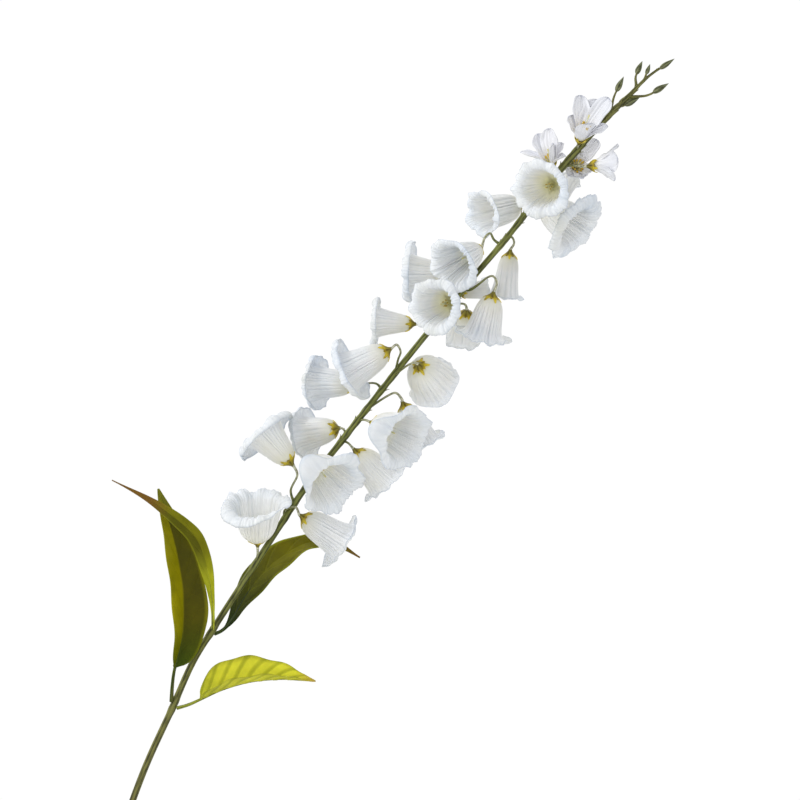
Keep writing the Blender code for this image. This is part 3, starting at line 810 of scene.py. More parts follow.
@dataclass
class Stem:
    """The main stem, from its cut foot in the vase to the tip, and what grows straight from it.

    Attributes:
        route: Knots of the centre line.
        marks: Pairs of height and radius.
        swelling, swelling_reach: How much it swells at a joint, as a share, and over what height.
        ridges, ridge: How many ridges run along it, and their height as a share of the radius.
        rows, sides: How many rings it has, and points round a ring.
        line: The centre line, one point for each ring.
    """

    route: tuple[Point, ...] = (
        (-34.6, 0, 9.5), (0, 0, 101), (35.5, 0, 194), (57, 0, 251), (78, 0, 297), (94, 1, 333), (111, 1, 361),
        (144, 2, 412), (168, 2, 449), (187, 2, 477), (219, 1, 518), (256, 0, 565), (281, -1, 596),
        (318, -2, 641), (346, -2, 674), (373, -1, 709), (391, 0, 731), (410, 1, 753), (428, 2, 772),
        (444, 2, 788), (457, 1, 801), (468, 1, 809.5),
    )
    marks: tuple[tuple[float, float], ...] = (
        (0, 2.9), (600, 2.4), (700, 2.3), (738, 2.7), (765, 2.4), (782, 1.9), (796, 1.3), (809.5, 0.8))
    swelling: float = 0.16
    swelling_reach: float = 3.2
    ridges: int = 5
    ridge: float = 0.045
    rows: int = 420
    sides: int = 30
    line: np.ndarray = field(init=False)

    def __post_init__(self) -> None:
        """Reads the centre line once."""
        self.line = smooth_route(self.route, self.rows)

    def radius(self, height: np.ndarray) -> np.ndarray:
        """Radius at a height, straight between the marks."""
        return np.interp(height, *zip(*self.marks))

    def at(self, height: float) -> tuple[np.ndarray, np.ndarray]:
        """Reads the centre line at a height.

        Args:
            height: The height.

        Returns:
            The point there, and the direction of growth.
        """
        growth = unit(np.gradient(self.line, axis=0))
        read = [np.interp(height, self.line[:, 2], column) for column in (*self.line.T, *growth.T)]
        return np.array(read[:3]), np.array(read[3:])

    def build(self, joints: list[float]) -> None:
        """Makes the stem: a ridged tube that swells where a stalk or leaf leaves it.

        At height h from the nearest joint, the radius swells by swelling exp(-(h / swelling_reach)^2).

        Args:
            joints: Heights at which something leaves the stem.
        """
        height = self.line[:, 2]
        swell = np.exp(-((height[:, None] - np.asarray(joints)[None]) / self.swelling_reach) ** 2).max(1)
        radii = self.radius(height) * (1 + self.swelling * swell)
        tube(self.line, radii, self.sides, self.ridges, self.ridge).piece("stem_skin", STEM_SKIN, ("stem",))

    def bract(self, height: float, side: float, length: float, half_width: float = 1.5,
              lift: float = 2.6) -> Surface:
        """A small pointed scale that stands off the stem below a stalk.

        It is a grid of u across and v along. The half-width falls off as sin(pi v^0.6), the scale is hollow
        like a spoon, it starts 0.3 mm inside the stem, and it lifts off with v^2.

        Args:
            height: Where it leaves the stem.
            side: Angle round the stem.
            length: Its length.
            half_width: Its greatest half-width.
            lift: How far its tip stands off.

        Returns:
            The surface.
        """
        base, growth = self.at(height)
        across = unit(np.cross(growth, (0.0, 1.0, 0.0)))
        away = math.cos(side) * across + math.sin(side) * np.cross(across, growth)
        right = np.cross(growth, away)
        v, u = np.meshgrid(np.linspace(0, 1, 11), np.linspace(-1, 1, 7), indexing="ij")
        half = half_width * np.sin(np.pi * v ** 0.6) + 0.12 * (1 - v)
        hollow = 0.35 * half_width * u ** 2 * np.sin(np.pi * v)
        off = self.radius(np.array(height)) - 0.3 + lift * v ** 2 - hollow
        return Surface.of_grid(base + growth * (v * length)[..., None] + away * off[..., None]
                               + right * (u * half)[..., None])

    def bracts(self, heights: list[float]) -> None:
        """Makes a scale below each stalk, and longer ones that wrap the stem from the blooms to the buds.

        Args:
            heights: Heights at which the flowers' stalks leave the stem.
        """
        draw = np.random.default_rng(12)
        scales = [self.bract(height - 1.5, draw.uniform(0, TAU), draw.uniform(4.0, 6.5))
                  for height in heights]
        scales += [self.bract(height, 2.4 * k, draw.uniform(10, 15), 2.1, 1.1)
                   for k, height in enumerate(np.linspace(716, 786, 13))]
        Surface.joined(scales).piece("bracts", BRACT_SKIN, wall=0.4)


# Flowers

# Radius of a bell's tube where its shoulder starts
NECK_RADIUS = 3.9
# How far behind the neck a stalk ends, inside the calyx's cup
CUP_DEPTH = 3.4
# How far the calyx stands off the petals
CALYX_OFF = 0.55
STALK_POINTS = 34


@dataclass(frozen=True)
class Lip:
    """How a bell's lip rolls back.

    Attributes:
        length: How far it runs along the petal, for a bell with a mouth of radius 24.
        roll: Angle from the bell's axis at which its edge ends: 90 is flat, 180 is rolled right back.
        fold: How much further it rolls on one side.
        fold_at: Where that side is, round the axis from the side nearest to the viewer.
        crimp: Height of the crimps.
        extra: How much longer it is on that side, as a share; a long side turns at its root and then lies
            flat.
        lobe_at: Where a lobe stands, from the middle of that side; None leaves the lobes as they are turned.
        lobing: How far its lobes part.
    """

    length: float = 9.0
    roll: float = 125.0
    fold: float = 0.0
    fold_at: float = 0.0
    crimp: float = 0.5
    extra: float = 0.0
    lobe_at: float | None = None
    lobing: float = 1.0


@dataclass
class Flower:
    """What a bell and a young bloom share: their place, and the stalk and heart that carry them.

    Attributes:
        number: Its number in the part.
        leaves_stem_at: Height at which its stalk leaves the stem.
        neck: Where its tube starts.
        heading, toward, turn: As stood() takes them.
        through: Points (right, up) that its stalk passes, where it isn't a plain curve.
    """

    number: int
    leaves_stem_at: float
    neck: Point
    heading: float
    toward: float
    turn: float
    through: tuple[tuple[float, float], ...] = field(default=(), kw_only=True)

    @property
    def matrix(self) -> np.ndarray:
        """The flower's place: local +Z from neck to mouth."""
        return stood(self.neck, self.heading, self.toward, self.turn)

    @property
    def draw(self) -> np.random.Generator:
        """The flower's own seeded draw."""
        return np.random.default_rng(700 + self.number)

    def stalk(self, stem: Stem) -> Surface:
        """The stalk, from inside the stem to the calyx.

        Where no points are given, it is stalk_line(). At share s of the way its radius is
        0.85 + 0.6 (1 - s)^6 + 0.45 s^5.

        Args:
            stem: The stem.

        Returns:
            The surface.
        """
        start, growth = stem.at(self.leaves_stem_at)
        axis = np.array(direction(self.heading, self.toward))
        end = np.array(self.neck, float) - axis * CUP_DEPTH
        if self.through:
            flat = np.array(self.through, float)
            depth = np.linspace(start[1], end[1], len(flat) + 2)[1:-1]
            middle = np.stack([flat[:, 0], depth, flat[:, 1]], axis=1)
            path = smooth_route([start, *middle, end - axis * 1.2, end], STALK_POINTS)
        else:
            path = stalk_line(start, growth, end, axis, 0.0, STALK_POINTS)
        share = np.linspace(0, 1, len(path))
        return tube(path, 0.85 + 0.6 * (1 - share) ** 6 + 0.45 * share ** 5, 12, 4, 0.04)

    def sheath(self, side: np.ndarray, longest: float, shortest: float) -> Surface:
        """The calyx: a small cup on the stalk that opens into five narrow sepals which hug the flower.

        The cup is a profile turned about the axis. From there on, each ray at angle a runs along the flower's
        side, CALYX_OFF outside it, for shortest + (longest - shortest) ((0.5 + 0.5 cos 5a)^4
        + 0.3 (0.5 - 0.5 cos 5a)^4), so that a short point stands between two sepals.

        Args:
            side: Radius and height along the flower's side, from the neck on.
            longest: Length of a sepal.
            shortest: Length between sepals.

        Returns:
            The surface, in place.
        """
        a = np.linspace(0, TAU, 60, endpoint=False)[None]
        cup = np.array([(0.9, -4.4), (1.2, -4.2), (1.4, -3.3), (1.9, -2.5), (2.7, -1.6), (3.6, -0.75)])
        turned = np.stack([cup[:, :1] * np.cos(a), cup[:, :1] * np.sin(a), cup[:, 1:] + 0 * a], axis=-1)
        wave = np.cos(5 * a)
        reach = shortest + (longest - shortest) * ((0.5 + 0.5 * wave) ** 4 + 0.3 * (0.5 - 0.5 * wave) ** 4)
        run = np.concatenate([[0.0], np.cumsum(np.linalg.norm(np.diff(side, axis=0), axis=1))])
        slope = np.unwrap(np.arctan2(np.gradient(side[:, 0]), np.gradient(side[:, 1])))
        far = 0.9 + (reach - 0.9) * np.linspace(0, 1, 8)[:, None]
        r, z, turn = (np.interp(far, run, column) for column in (side[:, 0], side[:, 1], slope))
        r, z = r + CALYX_OFF * np.cos(turn), z - CALYX_OFF * np.sin(turn)
        star = np.stack([r * np.cos(a), r * np.sin(a), z], axis=-1)
        return Surface.of_grid(np.concatenate([turned, star]), closed=True).placed(self.matrix)

    def stamens(self, reach: float, count: int, spread: float, stout: float = 1.0) -> tuple[Surface, Surface]:
        """The style with its knob, and the stamens round it.

        Each is a tube with a radius that swells at its end. Stamens lean outwards and are drawn a little
        uneven.

        Args:
            reach: Height of the style.
            count: Number of stamens.
            spread: How far the stamens' tips stand from the axis.
            stout: Thickness of a stamen, as a share of a bell's.

        Returns:
            The style and the stamens, in place.
        """
        draw = self.draw
        rise = np.linspace(0, 1, 12)
        path = np.stack([0.4 * np.sin(2 * rise), 0.3 * rise, -1.0 + (reach + 1.0) * rise], axis=1)
        knob = 0.35 + 0.45 * smoothstep(0.84, 0.94, rise) - 0.25 * smoothstep(0.95, 1.0, rise)
        style = tube(path, knob, 10)
        threads = []
        for k in range(count):
            angle = TAU * (k + 0.25 * draw.random()) / count + 0.4
            tall = reach * (0.55 + 0.16 * draw.random())
            out = spread * (0.8 + 0.4 * draw.random())
            lean = 1.1 + (out - 1.1) * rise ** 1.5
            line = np.stack([np.cos(angle) * lean, np.sin(angle) * lean, -0.6 + (tall + 0.6) * rise], axis=1)
            head = 0.32 * smoothstep(0.7, 0.8, rise) * (1 - 0.75 * smoothstep(0.88, 1.0, rise))
            threads.append(tube(line, stout * (0.18 + head), 8))
        return style.placed(self.matrix), Surface.joined(threads).placed(self.matrix)


@dataclass
class Bell(Flower):
    """An open bell: a grooved tube with five shallow lobes, and a frilled lip that rolls back.

    Attributes:
        length, mouth: Length, and radius at the lip.
        lip: How the lip rolls.
        full: How broad the shoulder is, as a share of the throat's width.
        pleat: How deep the grooves are.
        flare: Angle from the axis at which the tube meets the lip.
        groove_every: Millimetres of the mouth's radius to a groove.
        rolled_most: Angle from the axis that no part of the edge rolls past.
        body_rows, lip_rows: Rows of the tube and of the lip.
    """

    length: float
    mouth: float
    lip: Lip = Lip()
    full: float = 0.8
    pleat: float = 1.0
    flare: float = 14.0
    groove_every: float = 0.85
    rolled_most: float = 222.0
    body_rows: int = 12
    lip_rows: int = 14

    @property
    def scale(self) -> float:
        """The bell's width against a common one."""
        return self.mouth / 24

    def rolled(self, edge: np.ndarray, run: np.ndarray,
               late: np.ndarray) -> tuple[np.ndarray, np.ndarray, np.ndarray]:
        """What the lip adds beyond the throat.

        At share s of the lip, its angle from the axis is flare + (edge - flare) s^late. Radius and height are
        the running sums of the angle's sine and cosine.

        Args:
            edge: Angle at the edge, for each column.
            run: Length of the lip, for each column.
            late: Power by which the lip turns, for each column: under 1 it turns at once and then runs
                straight.

        Returns:
            Radius gained, height gained and angle, as rows by columns.
        """
        s = np.linspace(0, 1, self.lip_rows)[:, None]
        turn = np.radians(self.flare + (edge - self.flare) * s ** late)
        step = run / (self.lip_rows - 1)
        sums = []
        for part in (np.sin(turn), np.cos(turn)):
            middle = (part[1:] + part[:-1]) / 2 * step
            sums.append(np.concatenate([np.zeros_like(part[:1]), np.cumsum(middle, axis=0)]))
        return sums[0], sums[1], turn

    def body(self) -> np.ndarray:
        """The profile from the neck to the throat, where the lip starts: a cubic curve with a round shoulder.

        Returns:
            Radius and height, a pair in each row.
        """
        out, up, _ = self.rolled(np.array([[self.lip.roll]]), np.array([[self.lip.length * self.scale]]),
                                 np.array([[1.25]]))
        throat = np.array([self.mouth - out.max(), self.length - up.max()])
        wide, ends = self.full * (throat[0] - NECK_RADIUS), math.radians(self.flare)
        curve = cubic(np.array([NECK_RADIUS, 0.25]), np.array([NECK_RADIUS + wide, 0.25 + 0.5 * wide]),
                      throat - 0.45 * throat[1] * np.array([math.sin(ends), math.cos(ends)]), throat, 60)
        return evenly(np.vstack([[(3.2, -0.2)], curve]), self.body_rows)

    def corolla(self) -> Surface:
        """The tube and its lip.

        Let a be the angle, c = cos 5a, d the cosine of the angle from the fold where that is over 0, and f
        d^3 times extra / 0.8, with 1 at most for the quotient. The profile is body() and then rolled(), whose
        edge lies at roll + 14 lobing c + fold d^3 + 10 sin 2a + 8 (1 - d^3) sin 7a degrees, and whose length
        is that of the lip times 1 + lobing (0.08 + 0.2 f) (c - f (1 - c)^2 / 2) + sin(3a) / 20 + extra d^2.
        The radius also swells by 3 percent of lobing c and by waves of 2a and 3a. Square to that surface
        stand grooves, -(0.5 + 0.5 cos na)^1.6, where n is one for each groove_every of the mouth's radius;
        broad waves of 11a; ruffles of 9a; and crimps of na and 2na, which grow to the edge. Most waves have a
        shift that is drawn. A first row closes the neck round the style.

        Returns:
            The surface, in place.
        """
        draw, tall = self.draw, self.lip.length * self.scale
        a = np.linspace(0, TAU, int(12.5 * self.mouth), endpoint=False)[None]
        shift = draw.uniform(0, TAU, 12)
        viewer = self.matrix[:3, :3].T @ (0.0, -1.0, 0.0)
        facing = math.atan2(viewer[1], viewer[0]) + math.radians(self.lip.fold_at)
        folded = np.clip(np.cos(a - facing), 0, 1) ** 3
        folds = folded * min(self.lip.extra, 0.8) / 0.8
        lobe_turn = 0.0 if self.lip.lobe_at is None else facing + math.radians(self.lip.lobe_at)
        five = np.cos(5 * (a - lobe_turn))
        lobes = five * self.lip.lobing
        longer = self.lip.extra * np.clip(np.cos(a - facing), 0, 1) ** 2
        edge = self.lip.roll + 14 * lobes + self.lip.fold * folded + 10 * np.sin(2 * a + shift[0])
        edge = np.minimum(edge + 8 * np.sin(7 * a + shift[9]) * (1 - folded), self.rolled_most)
        notch = self.lip.lobing * (0.08 + 0.2 * folds) * (five - 0.5 * (1 - five) ** 2 * folds)
        run = tall * (1 + notch + 0.05 * np.sin(3 * a + shift[1]) + longer)
        out, up, lip_turn = self.rolled(edge, run, 1.25 - 0.6 * folds)
        body = self.body()
        body_turn = np.arctan2(np.gradient(body[:, 0]), np.gradient(body[:, 1]))
        flat = np.ones_like(a)
        r = np.concatenate([0.5 * flat, body[:-1, :1] * flat, body[-1, 0] + out])
        z = np.concatenate([-0.3 * flat, body[:-1, 1:] * flat, body[-1, 1] + up])
        turn = np.concatenate([np.pi / 2 * flat, body_turn[:-1, None] * flat, lip_turn])
        v = np.linspace(0, 1, len(r))[:, None]
        grows, lip = smoothstep(0.03, 0.45, v), np.clip((v - 0.5) * 2, 0, 1)
        swells = 0.03 * lobes + 0.022 * np.cos(2 * a + shift[2]) + 0.016 * np.cos(3 * a + shift[3])
        r = r * (1 + grows * swells)
        uneven = 1.5 * np.sin(3 * a + shift[4]) + 0.8 * np.sin(7 * a + shift[5])
        phase = round(self.mouth / self.groove_every) * a + uneven
        strength = np.clip(0.5 + 0.5 * np.sin(3 * a + shift[6]) * np.sin(4 * a + shift[7])
                           + 0.3 * np.sin(11 * a + shift[10]), 0.08, 1.0)
        groove = (0.5 + 0.5 * np.cos(phase)) ** 1.6 * strength * smoothstep(0.06, 0.3, v)
        broad = 0.5 * np.cos(11 * a + shift[1] + 1.2 * np.sin(2 * a + shift[5])) * smoothstep(0.2, 0.6, v)
        deep = self.pleat * self.scale * (0.5 + 0.9 * grows) * (1 - 0.4 * lip)
        ruffle = (0.3 + self.lip.crimp) * self.scale * lip ** 2 * np.sin(9 * a + shift[8] + uneven)
        frill = np.sin(phase + 1.5) + 0.45 * np.sin(2 * phase + shift[11] + 2 * np.sin(2 * a))
        calm = 1 - 0.6 * folds
        crimp = self.lip.crimp * self.scale * lip ** 1.6 * frill * (0.45 + 0.55 * strength) * calm
        off = crimp + ruffle * calm + broad * self.scale - deep * groove
        r, z = r + off * np.cos(turn), z - off * np.sin(turn) + grows * 0.8 * lobes
        grid = np.stack([r * np.cos(a), r * np.sin(a), z], axis=-1)
        # The crease attribute, the groove depth less towards the lip, places the petals' painted groove shade.
        return Surface.of_grid(grid, closed=True, crease=groove * (1 - 0.6 * lip)).placed(self.matrix)

    def calyx(self) -> Surface:
        """The bell's calyx."""
        return self.sheath(self.body(), 6.2 * self.scale ** 0.5, 1.4 * self.scale)


@dataclass(frozen=True)
class Petal:
    """One petal of a young bloom.

    Attributes:
        right, up, away: Its tip, from the bloom's neck.
        half_width: Its greatest half-width.
    """

    right: float
    up: float
    away: float
    half_width: float = 4.6


@dataclass
class Bloom(Flower):
    """A young bloom: free petals that part above a small cup.

    Attributes:
        petals: Its petals.
        reach: Height of its style.
        threads, spread, stout: Number, spread and thickness of its stamens, the last as a share of a bell's.
    """

    petals: tuple[Petal, ...]
    reach: float = 14.0
    threads: int = 6
    spread: float = 3.0
    stout: float = 1.7

    def corolla(self) -> Surface:
        """The petals.

        A petal is a grid of u across and v along. Its middle is the cubic curve that leaves the neck along
        the axis and bends over to the tip; its half-width grows from 0.3 w as the sine of v to w, and ends
        round, as (1 - x^2.4)^0.5 with x the share beyond 0.6; it is hollow towards the axis, with a ripple at
        its margins and three soft folds.

        Returns:
            The surface, in place.
        """
        draw, axis = self.draw, np.array(direction(self.heading, self.toward))
        neck = np.array(self.neck, float)
        v, u = np.meshgrid(np.linspace(0, 1, 24), np.linspace(-1, 1, 17), indexing="ij")
        made = []
        for petal in self.petals:
            tip = np.array([petal.right, petal.away, petal.up])
            out = unit(tip - axis * (tip @ axis))
            length = np.linalg.norm(tip)
            rim = neck + 2.4 * out
            middle = cubic(rim, rim + (0.35 * axis + 0.12 * out) * length,
                           neck + 0.72 * tip + 0.06 * length * out, neck + tip, 24)
            grown = unit(np.gradient(middle, axis=0))
            right = unit(np.cross(grown, out))
            inward = unit(np.cross(grown, right))
            inward = inward * np.sign(-(inward @ out).sum())
            wave, skew = draw.uniform(0, TAU), draw.uniform(-0.7, 0.7)
            beyond = np.clip((v - 0.6) / 0.4, 0, 1)
            half = petal.half_width * (0.3 + 0.7 * np.sin(0.5 * np.pi * np.clip(v / 0.6, 0, 1))) * np.sqrt(
                1 - 0.985 * beyond ** 2.4) * (1 + 0.06 * np.sin(13 * v + wave))
            hollow = 0.5 * half * u ** 2 * (1 - 0.5 * v)
            ripple = (0.6 * np.sin(14 * v + wave + 3 * u) * u ** 2 + 0.3 * np.cos(4.5 * np.pi * u)
                      + 0.7 * beyond * np.sin(7 * u + wave)) * smoothstep(0.1, 0.6, v)
            lift = (hollow + ripple + 0.5 * skew * v * u)[..., None]
            made.append(Surface.of_grid(middle[:, None] + right[:, None] * (u * half)[..., None]
                                        + inward[:, None] * lift))
        return Surface.joined(made)

    def calyx(self) -> Surface:
        """The bloom's small calyx."""
        return self.sheath(np.array([(3.2, -0.2), (4.2, 1.2), (4.9, 3.2), (5.2, 6.0), (5.4, 9.0)]), 4.8, 1.6)


@dataclass
class Inflorescence:
    """All the flowers of the spike, and the parts of them that are one body by colour.

    Attributes:
        bells: The open bells, from the lowest up.
        blooms: The young blooms near the tip.
    """

    bells: tuple[Bell, ...] = (
        Bell(1, 412, (147, -9, 431), 90, 24, 0, 34, 26.5,
             Lip(10, 105, 70, -30, 0.7, 0.45, lobing=0.4), pleat=0.9),
        Bell(2, 449, (184, -6, 450), -33, -10, 20, 37, 24.5, Lip(13, 150, crimp=0.45, lobing=0.05), full=0.9,
             through=((168.5, 456), (177, 458.5))),
        Bell(3, 461, (173, -16, 495), 132, -8, 10, 33, 27, Lip(16, 195, crimp=0.2, lobing=0.7), full=0.62,
             flare=22, pleat=0.7, through=((173.3, 472), (178.7, 484))),
        Bell(4, 475, (190, -9.5, 495), -47, 40, 50, 35, 26, Lip(10, 92, 45, -12, 1.0, 1.3, 19, 1.3),
             pleat=0.8, through=((185, 488), (186.5, 496))),
        Bell(5, 511, (226, 6, 502), -46, -12, 30, 34, 22, Lip(10, 130, crimp=0.6, lobing=0.6), pleat=0.6),
        Bell(6, 516, (209, 3, 521), 190, -30, 60, 32, 21.5, Lip(15, 195, crimp=0.2, lobing=0.7), pleat=0.9),
        Bell(7, 527, (240, -9.5, 525), -25, 38, 15, 36, 25.5, Lip(10, 95, 50, 4, 0.8, 1.2, 0, 1.0),
             pleat=0.8),
        Bell(8, 536, (264, 8, 539), -64, -10, 40, 34, 20, Lip(11, 150, crimp=0.6, lobing=0.6),
             through=((250, 547), (257.3, 549.6), (262, 544.5))),
        Bell(9, 552, (222, 20, 557), 178, -25, 25, 35, 22, Lip(15, 200, crimp=0.2, lobing=0.7)),
        Bell(10, 562, (276, -4, 571), -49, -58, 35, 34, 21.5, Lip(7, 60, crimp=0.8, lobing=0.6), pleat=1.3,
             full=1.0),
        Bell(11, 566, (250, -16, 583), 208, -14, 0, 38, 26, Lip(17, 200, crimp=0.2, lobing=0.5), pleat=0.8,
             through=((258.9, 576), (261, 582.4), (258, 588))),
        Bell(12, 602, (269, 3, 605), 177, -4, 45, 30, 19.5, Lip(14, 195, crimp=0.2, lobing=0.6), full=0.45,
             flare=22, pleat=0.8),
        Bell(13, 612, (301, -15, 622), 200, 65, 30, 34, 22, Lip(11, 145, crimp=0.55, lobing=0.6), pleat=1.3),
        Bell(14, 618, (314, 19, 614), 266, -45, 0, 26, 16, Lip(8, 110)),
        Bell(15, 626, (310, 5, 631), 6, -20, 20, 20, 10, Lip(8, 110)),
        Bell(16, 633, (334, -14, 626), 256, -14, 10, 33, 22.5, Lip(12, 135, crimp=0.8, lobing=0.5),
             pleat=1.6, through=((316.5, 632), (322.9, 636), (330.1, 641.6), (334.9, 642.4), (337.5, 637))),
        Bell(17, 636, (297, 14, 646), 177, -6, 55, 32, 24.5, Lip(16, 195, crimp=0.2, lobing=0.7), full=0.6,
             flare=20),
        Bell(18, 668, (323, -6, 664), 213, 44, 5, 35, 22, Lip(9, 120, 30, -40, 0.7, lobing=0.6), full=0.5,
             pleat=2.4, through=((335.7, 672), (332.5, 677.2), (328.2, 673.5))),
        Bell(19, 690, (356, 23.5, 701), 195, 32, 65, 37, 19.5, Lip(8, 100, 30, 0, 0.8, 0.4), full=1.0,
             pleat=1.7),
        Bell(20, 673, (349, 18, 661), 263, -8, 30, 34, 15.5, Lip(9, 150, crimp=0.7, lobing=0.7), pleat=1.2,
             through=((346, 674), (350.5, 674.5), (352.3, 670))),
        Bell(21, 686, (376, 10, 701), -38, 24, 40, 37, 28.5, Lip(13, 165, 30, 10, 1.0, 0.1, lobing=0.1),
             pleat=1.3),
        Bell(22, 706, (382, -15, 715), 207, 66, 15, 32, 23, Lip(11, 145, crimp=0.7, lobing=0.5), pleat=0.8),
        Bell(23, 719, (389, 25, 704), 64, -22, 25, 22, 10, Lip(8, 110)),
    )
    blooms: tuple[Bloom, ...] = (
        Bloom(1, 724, (381, -5, 731), 104, 20, 0, (
            Petal(-24, 11, -1, 7.0), Petal(-10.5, 26, 4, 8.0), Petal(-2, 29.5, -3, 8.0), Petal(8, 19, 5, 8.0),
            Petal(11, 8, -4, 6.0), Petal(1, 17, -9, 5.5))),
        Bloom(2, 743, (404, -9, 751), 72, 40, 20, (
            Petal(0.5, 36.5, 6, 7.5), Petal(15.5, 33, 9, 9.0), Petal(23, 34, 1, 7.5), Petal(-9, 19, -4, 9.0),
            Petal(21.5, 11, -5, 5.6), Petal(6, 12, -14, 9.5)), reach=25, threads=12, spread=3.6),
        Bloom(3, 730, (414, -3, 731), 5, 0, 10, (
            Petal(21, 17, 1, 6.0), Petal(20, 4, -9, 9.0), Petal(18, -11.5, -4, 8.5), Petal(16, 8, 9, 6.5),
            Petal(14, -6, 9, 6.5)), reach=9),
        Bloom(4, 736, (402, 19, 731), 60, 70, 40, (
            Petal(18, 23, 2, 6.0), Petal(-6, -7, -13, 6.0), Petal(5, -9, -13, 6.0), Petal(-9, 5, -9, 5.5),
            Petal(12, -3, -11, 5.5), Petal(3, 12, -4, 5.5)), reach=11, threads=12, spread=5.5),
    )

    def build(self, stem: Stem) -> None:
        """Makes each corolla as a piece, and stalks, calyxes, styles and stamens as one piece each.

        Args:
            stem: The stem that carries them.
        """
        for bell in self.bells:
            name = f"bell_{bell.number:02d}"
            bell.corolla().piece(f"{name}_corolla", PETAL, (name,), 0.45, PETAL_INSIDE)
        for bloom in self.blooms:
            name = f"bloom_{bloom.number:02d}"
            bloom.corolla().piece(f"{name}_petals", BLOOM_PETAL, (name,), wall=0.4)
        flowers = self.bells + self.blooms
        Surface.joined([f.stalk(stem) for f in flowers]).piece("flower_stalks", STALK_SKIN)
        Surface.joined([f.calyx() for f in flowers]).piece("calyxes", SEPAL_SKIN, wall=0.5)
        hearts = [bell.stamens(0.62 * bell.length, 5, 2.6) for bell in self.bells]
        hearts += [bloom.stamens(bloom.reach, bloom.threads, bloom.spread, bloom.stout)
                   for bloom in self.blooms]
        Surface.joined([style for style, _ in hearts]).piece("styles", STYLE_SKIN)
        Surface.joined([threads for _, threads in hearts]).piece("stamens", POLLEN)


@dataclass
class BudTip:
    """The closed buds at the tip of the spike, each on a stalk of its own.

    Attributes:
        buds: For each bud, the height where it leaves the stem, its base, its tip and its radius.
    """

    buds: tuple[tuple[float, Point, Point, float], ...] = (
        (771, (433, -4, 790), (439, -6, 802), 2.4),
        (779, (440, 3, 780), (453, 5, 787), 2.6),
        (785, (463, 4, 790), (476, 6, 798), 2.5),
        (793, (450, 5, 805), (455, 7, 816), 2.3),
        (800, (457, -4, 804), (460, -6, 812), 1.7),
        (808, (468, 1, 809), (480, 0, 817), 2.1),
    )

    def build(self, stem: Stem) -> None:
        """Makes buds and stalks.

        A bud is a five-ridged tube. At share s of its length its radius is 0.92 r sin(pi s^0.65) + 0.14.

        Args:
            stem: The stem that carries them.
        """
        bodies, stalks = [], []
        for height, base, tip, radius in self.buds:
            low, high = np.array(base, float), np.array(tip, float)
            share = np.linspace(0, 1, 22)
            path = low + np.outer(share, high - low)
            bodies.append(tube(path, 0.92 * radius * np.sin(np.pi * share ** 0.65) + 0.14, 20, 5, 0.09))
            line = stalk_line(*stem.at(height), low, unit(high - low), 1.0, 18)
            stalks.append(tube(line, np.linspace(1.35, 0.8, 18), 10, 4, 0.05))
        Surface.joined(bodies).piece("buds", BUD_SKIN)
        Surface.joined(stalks).piece("bud_stalks", BRACT_SKIN)


# Leaves


